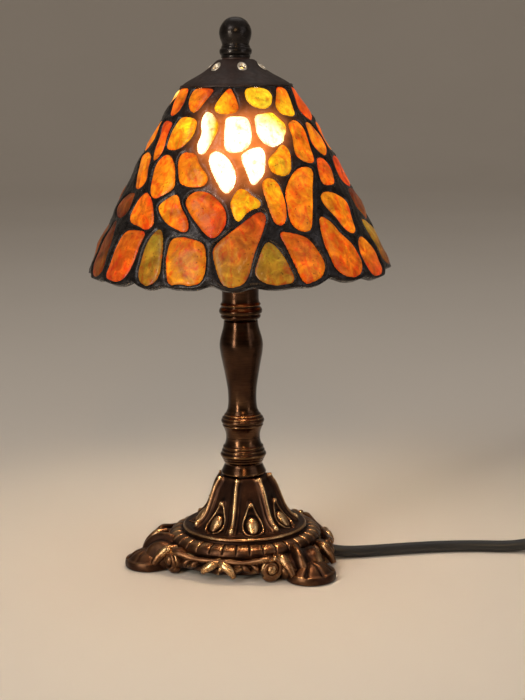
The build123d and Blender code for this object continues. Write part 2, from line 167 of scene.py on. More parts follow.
def smooth_line(points, steps):
    """Catmull-Rom curve through points."""
    p = np.asarray(points, float)
    padded = np.vstack([2 * p[0] - p[1], p, 2 * p[-1] - p[-2]])
    out = []
    for a, b, c, d in zip(padded, padded[1:], padded[2:], padded[3:]):
        for t in np.arange(steps) / steps:
            out.append(0.5 * (2 * b + (c - a) * t + (2 * a - 5 * b + 4 * c - d) * t**2
                              + (3 * b - a - 3 * c + d) * t**3))
    out.append(p[-1])
    return np.array(out)


def facing_out(points, faces):
    """The faces, turned over if the closed form that they make is inside out."""
    points = np.asarray(points, float)
    points = points - points.mean(axis=0)
    volume = 0.0
    for face in faces:
        for b, c in zip(face[1:], face[2:]):
            volume += points[face[0]] @ np.cross(points[b], points[c])
    return faces if volume > 0 else [tuple(reversed(face)) for face in faces]


def lathe(profile, columns=96, rub=None):
    """Points and faces turned about Z from (radius, height) pairs."""
    angles = np.arange(columns) / columns * 2 * math.pi
    points = [(r * math.cos(a), r * math.sin(a), z) for r, z in profile for a in angles]
    values = 0.0 if rub is None else np.repeat(np.asarray(rub, float), columns)
    profile = np.asarray(profile, float)
    climbs = np.sum((profile[1:, 0] + profile[:-1, 0]) ** 2 * np.diff(profile[:, 1])) > 0
    return points, grid_faces(len(profile), columns, flip=not climbs), values


def tube(path, radii, columns=12, closed_ends=True):
    """A round tube of changing radius along a path."""
    path = np.asarray(path, float)
    radii = np.broadcast_to(radii, (len(path),))
    ahead = np.gradient(path, axis=0)
    ahead /= np.linalg.norm(ahead, axis=1)[:, None]
    side = np.cross(ahead[0], (0.0, 0.0, 1.0))
    if np.linalg.norm(side) < 0.1:
        side = np.cross(ahead[0], (0.0, 1.0, 0.0))
    points = []
    for place, direction, radius in zip(path, ahead, radii):
        side = side - direction * (side @ direction)
        side /= np.linalg.norm(side)
        other = np.cross(direction, side)
        for k in range(columns):
            a = 2 * math.pi * k / columns
            points.append(place + radius * (side * math.cos(a) + other * math.sin(a)))
    faces = grid_faces(len(path), columns)
    if closed_ends:
        faces.append(tuple(reversed(range(columns))))
        faces.append(tuple(range(len(points) - columns, len(points))))
    return points, facing_out(points, faces)


def bump_of(distance, width):
    """Smooth hump, 1 at distance 0 and near 0 beyond the width."""
    return np.exp(-(np.asarray(distance) / width) ** 2)


def between(value, low, high, soft):
    """1 inside a range, falling smoothly to 0 outside it."""
    value = np.asarray(value, float)
    return 1 / (1 + np.exp(-(value - low) / soft)) / (1 + np.exp((value - high) / soft))


# ---- material helpers ---------------------------------------------------------------------------
class Look:
    """A node material built around one Principled shader."""

    def __init__(self, name, **settings):
        self.material = bpy.data.materials.new(name)
        self.material.use_nodes = True
        self.tree = self.material.node_tree
        self.shader = self.tree.nodes["Principled BSDF"]
        for key, value in settings.items():
            self.shader.inputs[key.replace("_", " ")].default_value = value
        self.place = self.tree.nodes.new("ShaderNodeTexCoord").outputs["Object"]

    def node(self, kind, links=(), **values):
        made = self.tree.nodes.new(kind)
        for key, value in values.items():
            if hasattr(made, key):
                setattr(made, key, value)
            else:
                made.inputs[key.replace("_", " ")].default_value = value
        for key, socket in dict(links).items():
            self.tree.links.new(socket, made.inputs[key])
        return made

    def link(self, socket, key):
        self.tree.links.new(socket, self.shader.inputs[key])

    def stretched(self, scale):
        mapping = self.node("ShaderNodeMapping", {"Vector": self.place})
        mapping.inputs["Scale"].default_value = scale
        return mapping.outputs["Vector"]

    def noise(self, scale, detail=3.0, distortion=0.0, vector=None):
        made = self.node("ShaderNodeTexNoise", {"Vector": vector or self.place})
        made.inputs["Scale"].default_value = scale
        made.inputs["Detail"].default_value = detail
        made.inputs["Distortion"].default_value = distortion
        return made.outputs["Fac"]

    def ramp(self, factor, stops):
        """stops are (position, number or colour)."""
        made = self.node("ShaderNodeValToRGB", {"Fac": factor})
        elements = made.color_ramp.elements
        while len(elements) < len(stops):
            elements.new(0.5)
        for element, (position, colour) in zip(elements, stops):
            element.position = position
            colour = (colour,) * 3 if isinstance(colour, (int, float)) else colour
            element.color = (*colour, 1.0)
        return made.outputs["Color"]

    def math(self, operation, first, second):
        made = self.tree.nodes.new("ShaderNodeMath")
        made.operation = operation
        for socket, value in zip(made.inputs, (first, second)):
            if isinstance(value, (int, float)):
                socket.default_value = value
            else:
                self.tree.links.new(value, socket)
        return made.outputs[0]

    def mix(self, factor, first, second, blend="MIX"):
        made = self.tree.nodes.new("ShaderNodeMix")
        made.data_type = "RGBA"
        made.blend_type = blend
        for socket, value in zip((made.inputs[0], made.inputs[6], made.inputs[7]), (factor, first, second)):
            if isinstance(value, (int, float)):
                socket.default_value = value
            elif isinstance(value, tuple):
                socket.default_value = (*value, 1.0)
            else:
                self.tree.links.new(value, socket)
        return made.outputs[2]

    def value_of(self, name):
        return self.node("ShaderNodeAttribute", attribute_name=name).outputs["Fac"]

    def colour_of(self, name):
        return self.node("ShaderNodeAttribute", attribute_name=name).outputs["Color"]

    def bump(self, height, distance, strength=1.0):
        made = self.node("ShaderNodeBump", {"Height": height}, Distance=distance, Strength=strength)
        self.link(made.outputs["Normal"], "Normal")


def cast_bronze():
    """Near-black patina in the hollows, copper brown between, worn to gold on the high spots."""
    look = Look("bronze_cast", Metallic=1.0)
    stain = look.noise(110.0, 6.0, 0.5)
    grain = look.noise(1300.0, 3.0)
    drift = look.math("MULTIPLY", look.math("SUBTRACT", stain, 0.5), 0.55)
    shifted = look.math("ADD", look.value_of("rub"), drift)
    look.link(look.ramp(shifted, [(0.10, (0.011, 0.007, 0.006)), (0.38, (0.050, 0.023, 0.014)),
                                  (0.64, (0.19, 0.092, 0.044)), (0.95, (0.86, 0.56, 0.27))]), "Base Color")
    worn = look.ramp(shifted, [(0.10, 0.50), (0.45, 0.36), (0.90, 0.22)])
    look.link(look.mix(1.0, worn, look.ramp(grain, [(0.3, 0.85), (0.7, 1.2)]), "MULTIPLY"), "Roughness")
    look.bump(look.math("ADD", grain, look.math("MULTIPLY", stain, 1.5)), 0.00016, 0.8)
    return look.material


def turned_bronze(name="bronze_turned"):
    """Polished dark patina with fine turning lines, bare on the sharp rings."""
    look = Look(name, Metallic=1.0)
    stain = look.noise(70.0, 6.0, 0.4)
    grain = look.noise(1500.0, 2.0)
    lines = look.noise(150.0, 3.0, 0.0, look.stretched((1.0, 1.0, 16.0)))
    dark = look.ramp(stain, [(0.32, (0.026, 0.013, 0.008)), (0.52, (0.056, 0.027, 0.015)),
                             (0.72, (0.12, 0.060, 0.030))])
    dark = look.mix(1.0, dark, look.ramp(lines, [(0.3, 0.72), (0.7, 1.25)]), "MULTIPLY")
    worn = look.math("MULTIPLY", look.value_of("rub"), look.ramp(stain, [(0.3, 0.6), (0.6, 1.0)]))
    look.link(look.mix(worn, dark, (0.90, 0.50, 0.20)), "Base Color")
    look.link(look.ramp(look.noise(300.0, 4.0), [(0.3, 0.15), (0.7, 0.26)]), "Roughness")
    look.bump(look.math("ADD", lines, look.math("MULTIPLY", grain, 0.4)), 0.00007, 0.6)
    return look.material


def black_patina(name, colour=(0.022, 0.016, 0.013), rough=(0.30, 0.46), metallic=0.7):
    look = Look(name, Metallic=metallic)
    mottle = look.noise(160.0, 5.0, 0.3)
    brighter = tuple(c * 2.2 for c in colour)
    look.link(look.ramp(mottle, [(0.35, colour), (0.75, brighter)]), "Base Color")
    look.link(look.ramp(look.noise(420.0, 4.0), [(0.3, rough[0]), (0.7, rough[1])]), "Roughness")
    look.bump(look.math("ADD", mottle, look.noise(1800.0, 2.0)), 0.00010, 0.6)
    return look.material


def plain_metal(name, colour, rough, streak=(1.0, 1.0, 12.0)):
    look = Look(name, Metallic=1.0)
    lines = look.noise(500.0, 4.0, 0.0, look.stretched(streak))
    darker = tuple(c * 0.72 for c in colour)
    look.link(look.ramp(lines, [(0.3, darker), (0.7, colour)]), "Base Color")
    look.link(look.ramp(look.noise(220.0, 5.0), [(0.3, rough), (0.7, rough + 0.16)]), "Roughness")
    look.bump(lines, 0.00005, 0.5)
    return look.material


def moulded(name, colour, rough=0.42, grain=2600.0, depth=0.00006):
    look = Look(name)
    speck = look.noise(grain, 3.0)
    cloud = look.noise(70.0, 4.0)
    lighter = tuple(min(1.0, c * 1.35 + 0.004) for c in colour)
    look.link(look.ramp(cloud, [(0.3, colour), (0.7, lighter)]), "Base Color")
    look.link(look.ramp(speck, [(0.3, rough - 0.06), (0.7, rough + 0.10)]), "Roughness")
    look.bump(speck, depth, 0.7)
    return look.material


def felt():
    look = Look("felt", Roughness=0.95, Sheen_Weight=0.5)
    fibres = look.noise(3200.0, 5.0, 1.5)
    look.link(look.ramp(fibres, [(0.3, (0.02, 0.02, 0.02)), (0.7, (0.09, 0.09, 0.09))]), "Base Color")
    look.bump(fibres, 0.0004)
    return look.material


def amber_stone():
    """Amber lit from behind, its glow painted in as emission: the tone of each stone with clouds, red
    mottling, specks and a painted bright glow along its edge.
    """
    look = Look("amber", Roughness=0.36, Specular_IOR_Level=0.18, Coat_Weight=0.06, Coat_Roughness=0.04)
    tone = look.colour_of("tone")
    inset = look.value_of("inset")
    cloud = look.noise(120.0, 5.0, 0.9)
    streak = look.noise(170.0, 5.0, 1.4, look.stretched((1.0, 1.0, 0.4)))
    mottle = look.noise(330.0, 4.0, 0.6)
    vein = look.noise(95.0, 6.0, 2.2)
    specks = look.noise(820.0, 2.0)
    clouds = look.ramp(cloud, [(0.27, 0.42), (0.42, 0.76), (0.56, 1.08), (0.70, 1.65)])
    lit = look.mix(1.0, tone, clouds, "MULTIPLY")
    reddened = look.mix(1.0, lit, (1.02, 0.36, 0.30), "MULTIPLY")
    strong = look.ramp(streak, [(0.47, 0.0), (0.62, 1.0)])
    patch = look.math("MULTIPLY", strong, look.ramp(mottle, [(0.35, 0.25), (0.60, 0.95)]))
    lit = look.mix(patch, lit, reddened)
    lightened = look.mix(1.0, lit, (1.15, 1.45, 1.2), "MULTIPLY")
    lit = look.mix(look.ramp(vein, [(0.46, 0.0), (0.50, 0.85), (0.54, 0.0)]), lit, lightened)
    lit = look.mix(1.0, lit, look.ramp(specks, [(0.26, 0.35), (0.35, 1.0)]), "MULTIPLY")
    # Painted glow: bright along each stone's edge, with a darker red band just inside it.
    painted_edge_glow = look.ramp(inset, [(0.0, (1.7, 1.6, 1.8)), (0.14, (1.5, 1.45, 1.5)), (0.30, (0.80, 0.46, 0.34)),
                            (0.55, (0.90, 0.74, 0.66)), (0.95, (1.0, 1.0, 1.0))])
    lit = look.mix(1.0, lit, painted_edge_glow, "MULTIPLY")
    # Painted light: the bulb's glow through the amber goes in as emission.
    look.link(lit, "Emission Color")
    look.shader.inputs["Emission Strength"].default_value = 1.0
    look.link(look.mix(1.0, tone, (0.07, 0.055, 0.05), "MULTIPLY"), "Base Color")
    look.bump(look.math("ADD", cloud, look.math("MULTIPLY", streak, 0.6)), 0.00040, 0.55)
    return look.material


def solder():
    """Black patinated solder, with a warm glow where the clear stones shine past it."""
    look = Look("solder", Metallic=0.85)
    mottle = look.noise(240.0, 5.0, 0.6)
    look.link(look.ramp(mottle, [(0.3, (0.014, 0.012, 0.012)), (0.6, (0.035, 0.031, 0.032)),
                                 (0.8, (0.08, 0.075, 0.08))]), "Base Color")
    look.link(look.ramp(look.noise(600.0, 3.0), [(0.3, 0.24), (0.7, 0.42)]), "Roughness")
    uneven = look.ramp(mottle, [(0.2, 0.7), (0.8, 1.2)])
    look.link(look.mix(1.0, look.colour_of("spill"), uneven, "MULTIPLY"), "Emission Color")
    look.shader.inputs["Emission Strength"].default_value = 1.0
    look.bump(look.math("ADD", mottle, look.math("MULTIPLY", look.noise(900.0, 2.0), 0.3)), 0.0005, 0.6)
    return look.material


BULB_STRENGTH = 62.0


def lit_glass():
    """Opal glass of the lit bulb."""
    look = Look("lit_bulb", Roughness=0.2)
    glow = look.noise(60.0, 3.0)
    look.link(look.ramp(glow, [(0.2, (1.0, 0.78, 0.50)), (0.8, (1.0, 0.84, 0.60))]), "Emission Color")
    look.link(look.ramp(glow, [(0.2, (0.9, 0.84, 0.72)), (0.8, (0.95, 0.90, 0.80))]), "Base Color")
    look.shader.inputs["Emission Strength"].default_value = BULB_STRENGTH
    return look.material


# ---- cord ---------------------------------------------------------------------------------------
CORD_DIAMETER = 6.5
EXIT_ANGLE = math.radians(-8.5)
EXIT_HEIGHT = 5.7
EXIT = (44 * math.cos(EXIT_ANGLE), 44 * math.sin(EXIT_ANGLE), EXIT_HEIGHT)
LEAD_ROUTE = [EXIT, (51.5, -8.4, 4.0), (64, -7.6, 3.3), (84, -4.6, 3.3), (106, -1.6, 3.3), (130, -1.2, 3.3),
              (150, -4.6, 3.3), (163, -5.4, 5.2), (172, -5, 7)]
MID_ROUTE = [(226, -5, 7), (246, -3.5, 4), (265, 10, 3.3), (282.8, 20.65, 3.3)]
TAIL_ROUTE = [(300, -68, 9.75), (284, -69, 8.6), (268, -67.2, 7.3), (252, -68, 6.85)]
COIL_CENTRE = (300.0, -22.0)
COIL_START, COIL_TURNS = 112.0, 6.56
COIL_OUTER, COIL_INNER = 46.0, 24.8
COIL_LEVELS = (3.25, 9.75)


def coil_points():
    """Two flat layers of turns, wound inwards and then outwards again on top."""
    steps = int(COIL_TURNS * 24)
    points = []
    for i in range(1, steps):
        share = i / steps
        angle = math.radians(COIL_START - 360 * COIL_TURNS * share)
        inward = 1 - abs(2 * share - 1)
        radius = COIL_OUTER + (COIL_INNER - COIL_OUTER) * inward
        climb = between(share, 0.5, 9.0, 0.012)
        height = COIL_LEVELS[0] + (COIL_LEVELS[1] - COIL_LEVELS[0]) * float(climb)
        points.append((COIL_CENTRE[0] + radius * math.cos(angle),
                       COIL_CENTRE[1] + radius * math.sin(angle), height))
    return points


def nurbs(name, route):
    curve = bpy.data.curves.new(name, "CURVE")
    curve.dimensions = "3D"
    spline = curve.splines.new("NURBS")
    spline.points.add(len(route) - 1)
    for point, place in zip(spline.points, route):
        point.co = (*(c * MM for c in place), 1.0)
    spline.order_u = 3
    spline.use_endpoint_u = True
    spline.resolution_u = 6
    curve.bevel_depth = CORD_DIAMETER / 2 * MM
    curve.bevel_resolution = 6
    curve.use_fill_caps = True
    obj = bpy.data.objects.new(name, curve)
    bpy.context.collection.objects.link(obj)
    return obj


def strain_relief():
    """Ribbed rubber sleeve on the cord where it comes out from under the skirt."""
    shape = Builder()
    along = np.linspace(0, 1, 61)
    ribs = 0.28 * np.clip(np.cos(along * math.pi * 2 * 6), -0.4, 1)
    reach = 24 + 19.8 * along
    path = np.stack([reach * math.cos(EXIT_ANGLE), reach * math.sin(EXIT_ANGLE), 0 * reach + EXIT_HEIGHT], 1)
    points, faces = tube(path, 5.1 - 1.1 * along + ribs, 24)
    shape.add(points, faces)
    return shape.object("cord_sleeve")


def add_cords():
    rubber = moulded("cord_sheath", (0.008, 0.008, 0.008), 0.34, 1500.0, 0.00003)
    lead = finish_piece(nurbs("supply_cord", LEAD_ROUTE), "stand", rubber, ["cord_lead"])
    rest_route = MID_ROUTE + coil_points() + TAIL_ROUTE
    rest = finish_piece(nurbs("stored_cord", rest_route), "stand", rubber,
                        ["cord_mid", "cord_coil", "cord_tail"])
    sleeve = finish_piece(strain_relief(), "stand", rubber, ["cord_bushing"])
    return lead, rest, sleeve


cord_lead, cord_rest, cord_sleeve = add_cords()


# ---- shade: where things are on it --------------------------------------------------------------
SHADE_OUTLINE = np.array([(29.9, 262.6), (39.6, 247.5), (50.9, 228.0), (61.9, 208.0), (73.6, 185.0),
                          (83.2, 163.5)])
SHADE_THICKNESS = 4.0
SHADE_LIMIT = 83.15  # no point of the shade lies further out
RUNS = np.linalg.norm(np.diff(SHADE_OUTLINE, axis=0), axis=1)
SLANTS = np.concatenate([[0.0], np.cumsum(RUNS)])
RIM_SLANT = SLANTS[-1]


def slant_at(height):
    """Distance down the slope from the top of the shade, for a height."""
    return np.interp(-np.asarray(height, float), -SHADE_OUTLINE[:, 1], SLANTS)


def radius_at(slant):
    return np.interp(slant, SLANTS, SHADE_OUTLINE[:, 0])


def height_at(slant):
    return np.interp(slant, SLANTS, SHADE_OUTLINE[:, 1])


def unevenness(bearing, slant):
    """How far the hand-made shade strays from a true cone."""
    turn = np.radians(bearing)
    wave = 0.55 * np.sin(11 * turn + slant * 0.13) * np.sin(slant * 0.27 + 1.1)
    wave = wave + 0.40 * np.sin(7 * turn - slant * 0.21 + 0.8) + 0.30 * np.cos(slant * 0.27)
    return 0.75 * wave * np.clip(slant / 14, 0, 1)


def on_shade(bearing, slant, lift):
    """Points on the shade; lift is the distance out from its nominal surface."""
    bearing, slant, lift = (np.asarray(v, float) for v in (bearing, slant, lift))
    step = 2.0
    low, high = slant - step, slant + step
    rise_r = radius_at(high) - radius_at(low)
    rise_z = height_at(high) - height_at(low)
    size = np.hypot(rise_r, rise_z)
    lift = lift + unevenness(bearing, slant)
    radius = radius_at(slant) - lift * rise_z / size
    height = height_at(slant) + lift * rise_r / size
    radius = np.minimum(radius, SHADE_LIMIT)
    angle = np.radians(bearing)
    return np.stack([radius * np.sin(angle), -radius * np.cos(angle), height], axis=-1)


# ---- shade: the stones --------------------------------------------------------------------------
# Glow colours painted on the amber for the bulb's light through it, from the stone in front of the bulb to
# the dark ones at the rim.
TONES = {
    "white": (3.2, 2.7, 1.7), "pale": (1.6, 1.10, 0.26), "lemon": (1.30, 0.80, 0.03),
    "yellow": (1.12, 0.56, 0.010), "gold": (1.00, 0.37, 0.006), "amber": (0.90, 0.245, 0.005),
    "orange": (0.84, 0.175, 0.004), "tangerine": (0.78, 0.120, 0.004), "scarlet": (0.70, 0.075, 0.004),
    "red": (0.46, 0.040, 0.004), "honey": (0.50, 0.170, 0.010), "olive": (0.37, 0.165, 0.010),
    "brown": (0.22, 0.048, 0.006), "dark": (0.11, 0.020, 0.005),
}
# The white stones in front of the bulb are its painted hot spot.
FRONT_STONES = {
    1: [
        ([(-92, 262), (-80, 262), (-76, 258), (-84, 251), (-92, 252)], "orange", "pale", (0, 1)),
        ([(-80, 262), (-68, 264), (-57, 263), (-53, 260), (-52, 255), (-53, 250), (-58, 248.5), (-66, 249.5),
          (-72, 255)], "tangerine", "orange", (0, 1)),
        ([(-45, 262.5), (-23, 262.3), (-21.5, 260.5), (-32, 251.5), (-36, 250.6), (-41, 252), (-47, 257)],
         "amber", "scarlet", (1, 1)),
        ([(-5, 263), (-2, 260), (3, 253), (1, 250.6), (-8, 249.3), (-15, 250), (-17, 253.5), (-11, 259.5)],
         "yellow", "orange", (1, 1)),
        ([(11, 262), (22, 263), (33, 261.5), (36, 258), (32, 254), (25, 251.6), (17, 252.3), (11, 255.5),
          (9.5, 259)], "lemon", "yellow", (-1, 1)),
        ([(50, 263.5), (60, 261.5), (57, 255), (54, 249), (48, 247.4), (38, 248.5), (36, 252.5), (42, 258.5),
          (46, 262)], "yellow", "orange", (0, 1)),
        ([(78, 263.5), (95, 262), (96, 254), (90, 247), (76, 244.8), (66, 247), (65, 253), (70, 259)],
         "scarlet", "scarlet", (0, 1)),
    ],
    2: [
        ([(-95, 245), (-80, 246), (-72, 245), (-71, 238), (-76, 231), (-84, 229),
          (-95, 231)], "orange", "amber", (0, 1)),
        ([(-67, 245.5), (-58, 245.5), (-53, 244.5), (-53, 240), (-52, 232), (-53, 227), (-56, 225.5),
          (-60, 229), (-63, 236)], "orange", "scarlet", (0, 1)),
        ([(-46, 248.3), (-33, 247.6), (-28.8, 245), (-30, 238), (-34, 233), (-40, 231.5), (-49.5, 232.3),
          (-49, 236), (-48.5, 242)], "orange", "yellow", (1, 1)),
        ([(-24, 250.5), (-18, 249.5), (-13, 245.8), (-11.5, 242.5), (-13, 239.5), (-16.5, 234), (-19, 229.8),
          (-22, 229.5), (-24.5, 234), (-22.8, 240), (-25.5, 245)], "white", "yellow", (1, 0)),
        ([(-5.5, 248), (8.5, 248), (11, 243.5), (10.5, 237), (8.5, 233), (2.5, 230.2), (-3.5, 230.3),
          (-6.5, 233), (-6.7, 240), (-6.5, 245.5)], "white", "white", (0, 1)),
        ([(15.5, 248.5), (22, 249), (30, 250), (33.5, 246.5), (38, 243), (36.5, 239.5), (33.5, 238),
          (33, 235.5), (24, 232.3), (18.5, 234.5), (15.5, 237.5), (14.8, 243)], "white", "lemon", (1, 1)),
        ([(47, 245.5), (40.5, 243.5), (41.5, 237.5), (39, 232), (37.5, 227.5), (42, 224), (48.5, 223.5),
          (51.5, 226), (54, 232.5), (53.5, 240.5), (51, 244.5)], "orange", "amber", (-1, 0)),
        ([(62, 244), (57.5, 242), (56.5, 234.5), (59, 228.8), (65, 226.5), (71, 229), (76, 234.5), (74, 240),
          (67, 243.5)], "amber", "orange", (1, 0)),
        ([(82, 243), (98, 244), (98, 229), (84, 227), (80, 232)], "orange", "tangerine", (0, 1)),
    ],
    3: [
        ([(-71, 229.8), (-62, 228), (-57, 222), (-54, 215.5), (-57, 212.3), (-65, 211.3), (-67, 216),
          (-74, 223), (-77, 227.5)], "orange", "amber", (0, 1)),
        ([(-47, 229.3), (-41, 228), (-36, 223), (-32.5, 214), (-34, 211.5), (-41.5, 206.8), (-45.5, 208.5),
          (-49.5, 216), (-51, 224), (-50, 227.5)], "orange", "amber", (1, 0)),
        ([(-33, 230), (-24, 229.7), (-20.5, 224), (-14, 218), (-15.5, 214), (-22, 213.5), (-29.5, 215),
          (-31, 218), (-34.5, 225)], "amber", "orange", (-1, 1)),
        ([(-13, 231.2), (-8.5, 230.3), (-3.4, 226.5), (-0.3, 221.5), (0.2, 216.5), (-1.5, 212.3),
          (-4.2, 210), (-7, 212.3), (-11.5, 219.4), (-14.5, 225), (-15, 229)], "white", "white", (1, 0)),
        ([(11, 232), (15.5, 232.7), (17.7, 230), (16.5, 224), (15, 219), (9.3, 213.8), (8, 214.8),
          (4.3, 225.5), (3.5, 228.3), (6, 230.2)], "white", "white", (0, 1)),
        ([(30.5, 234), (33.8, 230.5), (32.5, 225), (30.5, 219.5), (26, 218), (20, 220), (18.5, 224),
          (20, 227), (25, 230)], "gold", "yellow", (-1, 0)),
        ([(57, 226), (62, 225), (65, 220.5), (60, 212.5), (54, 212), (48.5, 212.6), (50, 220), (53.5, 225)],
         "orange", "scarlet", (0, 1)),
        ([(72, 224.5), (84, 226), (95, 222), (96, 213), (88, 209.5), (75, 210),
          (69, 217)], "scarlet", "red", (0, 1)),
    ],
    4: [
        ([(-96, 212), (-84, 213), (-80, 209), (-80, 200), (-85, 196), (-96, 197)], "dark", "brown", (0, 1)),
        ([(-68, 209), (-61, 209), (-59.5, 204), (-60, 199), (-64, 196), (-71, 196.5), (-74, 200),
          (-72, 206)], "dark", "brown", (0, 1)),
        ([(-50, 210), (-46, 208), (-43, 205), (-39.5, 199.5), (-38.5, 194), (-42, 191.8), (-47, 193.5),
          (-54, 194.7), (-57, 199), (-55, 205.5)], "orange", "tangerine", (1, 1)),
        ([(-30.5, 210), (-35.5, 206), (-37.8, 203), (-35, 199), (-31, 195.3), (-22, 191.3), (-20, 192.8),
          (-21.3, 197.5), (-25.5, 203), (-28, 208)], "amber", "tangerine", (1, 0)),
        ([(-18.5, 211.5), (-12.5, 210.3), (-7.2, 206), (-4, 200.5), (-4.2, 195), (-7.3, 189.7), (-10, 188.7),
          (-13.5, 192), (-19.3, 199), (-23.7, 205), (-22.8, 209.3)], "orange", "scarlet", (1, -0.2)),
        ([(1.8, 212.3), (5, 212), (8, 208.5), (11.3, 206), (11.3, 203.3), (7, 202.4), (4, 200), (1.5, 196.5),
          (0, 197.5), (-1.2, 201), (-2.2, 205), (-0.8, 209)], "yellow", "gold", (-1, 1)),
        ([(16.5, 217.5), (20.5, 216.5), (22.5, 212.5), (23, 205), (22.3, 197.5), (20.5, 194.2), (17, 195),
          (15.5, 201), (13.7, 210), (13.5, 214.5)], "orange", "gold", (0, 1)),
        ([(38, 221.5), (44, 221), (45, 218.5), (40.5, 210), (36, 200), (33, 191.5), (30.5, 190.2),
          (26.5, 191.7), (23.8, 196), (23.8, 201), (24.3, 209), (28, 215),
          (33, 219.8)], "orange", "amber", (1, 0)),
        ([(47.5, 209), (55, 207.8), (61.5, 204), (62.5, 198), (60.5, 191), (59, 188), (55.5, 187),
          (52.5, 189.5), (49, 196), (45, 202.5), (44, 206.5)], "orange", "amber", (-1, 0)),
        ([(71, 208), (80, 209), (92, 206), (97, 199), (92, 192), (80, 192), (73, 198), (69, 203)],
         "brown", "dark", (0, 1)),
    ],
    5: [
        ([(-96, 190), (-84, 191), (-79, 186), (-79, 172), (-83, 166), (-96, 166)], "dark", "brown", (0, 1)),
        ([(-72, 194), (-67, 194), (-64, 188), (-63, 178), (-62, 168), (-66, 165.5), (-72, 166), (-75, 172),
          (-76, 184)], "brown", "dark", (0, 1)),
        ([(-53, 190.8), (-43, 191.3), (-41, 189), (-42.5, 179), (-44.5, 168.5), (-48, 165.3), (-56, 166),
          (-58.5, 169), (-57, 179), (-56, 187.5)], "scarlet", "tangerine", (0, 1)),
        ([(-34.5, 193), (-31.8, 190.5), (-29.5, 181), (-29, 173), (-30.5, 167.3), (-33.5, 165), (-37, 166.5),
          (-39, 170), (-38.7, 181), (-37, 189.5)], "honey", "olive", (0, 1)),
        ([(-26.5, 188.3), (-21.5, 189.2), (-13.5, 186.8), (-11.6, 183), (-11.3, 171), (-12.8, 166.8),
          (-17, 165.9), (-20, 167), (-24, 165.9), (-25.7, 169), (-27, 178),
          (-27.3, 185)], "amber", "orange", (0, 1)),
        ([(10.5, 201.2), (13.3, 200), (12.8, 196), (9.5, 187.5), (7, 181.5), (5.5, 175), (4.3, 170),
          (2, 166.3), (-1.3, 165.2), (-4.2, 165.9), (-6, 170), (-7.8, 177), (-9, 182.5), (-7.3, 186),
          (0.5, 193.3), (6.5, 198.5)], "honey", "scarlet", (0.5, 1)),
        ([(12.5, 186.5), (14.5, 185.5), (18.7, 178), (21.3, 168.5), (20, 166.3), (13, 165.8), (9, 168),
          (6.8, 172), (8.3, 177), (10.3, 183)], "honey", "olive", (0, 1)),
        ([(18, 191.5), (24, 190.2), (29, 188), (31.5, 185), (34.2, 178), (34.7, 172.5), (32.3, 168.3),
          (28, 166.3), (25.3, 165.6), (23.8, 168), (22.3, 175), (20, 183.5)], "orange", "tangerine", (0, 1)),
        ([(40, 197.5), (44.5, 194), (48.8, 186.5), (53.5, 180), (55.5, 174), (53, 168.5), (48, 166),
          (43, 167), (39.2, 172), (37.5, 182), (37.5, 190),
          (38.5, 195.5)], "tangerine", "orange", (-1, 1)),
        ([(61, 185.3), (65.5, 181.5), (69.5, 174), (71, 167.5), (67.5, 165), (59, 165), (57, 170.5),
          (56.3, 177.5), (57, 182.5)], "scarlet", "orange", (0, 1)),
        ([(69.5, 192.8), (78, 192), (92, 186), (96, 176), (93, 168), (83, 166.5), (77, 169.5), (72.5, 176),
          (70, 184)], "brown", "olive", (0, 1)),
    ],
}
ROW_HEIGHTS = {1: (263.0, 249.5), 2: (246.5, 229.5), 3: (227.0, 210.5), 4: (208.0, 192.5), 5: (190.0, 165.6)}
BACK_COUNTS = {1: 6, 2: 8, 3: 9, 4: 9, 5: 10}
BACK_FROM, BACK_TO = 99.5, 260.5
GAP = 2.6  # solder between two stones at the back
BACK_TONES = {
    1: ("orange", "amber", "scarlet", "yellow", "tangerine"),
    2: ("gold", "orange", "lemon", "amber", "pale", "scarlet"),
    3: ("amber", "pale", "orange", "yellow", "tangerine", "gold"),
    4: ("orange", "scarlet", "amber", "tangerine", "honey", "red"),
    5: ("tangerine", "honey", "orange", "olive", "scarlet", "brown", "amber"),
}


def back_stones(row):
    """Irregular stones behind the lamp: a row of cells with shaken corners, cut back for the solder."""
    high, low = ROW_HEIGHTS[row]
    count = BACK_COUNTS[row]
    pitch = (BACK_TO - BACK_FROM) / count
    radius = float(radius_at(slant_at((high + low) / 2)))
    gap = math.degrees(GAP / radius)
    tops, lows = [[BACK_FROM + pitch * k + (0 if k in (0, count) else rng.uniform(-0.26, 0.26) * pitch)
                   for k in range(count + 1)] for _ in range(2)]
    drop = 0.16 * (high - low)
    stones = []
    for k in range(count):
        left_top, right_top = tops[k] + gap / 2, tops[k + 1] - gap / 2
        left_low, right_low = lows[k] + gap / 2, lows[k + 1] - gap / 2
        wide_top, wide_low = right_top - left_top, right_low - left_low
        bow = rng.uniform(-0.05, 0.09) * pitch
        trim = [rng.uniform(0.0, drop) for _ in range(6)]
        rise = 0.0 if row == 1 else drop * 0.5
        foot = 0.0 if row == 5 else drop * 0.4
        corners = [
            (left_top + 0.05 * wide_top, high - trim[0]),
            (left_top + 0.5 * wide_top, high + rise - trim[1] * 0.6),
            (right_top - 0.05 * wide_top, high - trim[2]),
            ((right_top + right_low) / 2 + bow, (high + low) / 2),
            (right_low - 0.08 * wide_low, low + trim[3]),
            (left_low + 0.45 * wide_low, low - foot + trim[4] * 0.3),
            (left_low + 0.08 * wide_low, low + trim[5]),
            ((left_top + left_low) / 2 - bow, (high + low) / 2),
        ]
        tones = [rng.choice(BACK_TONES[row]) for _ in range(2)]
        stones.append((corners, *tones, (rng.uniform(-1, 1), rng.uniform(-1, 1))))
    return stones


def rounded(outline):
    """Cut the corners of a closed outline, less each time."""
    for cut in (0.20, 0.22):
        following = np.roll(outline, -1, axis=0)
        outline = np.stack([(1 - cut) * outline + cut * following, cut * outline + (1 - cut) * following], 1)
        outline = outline.reshape(-1, 2)
    return outline


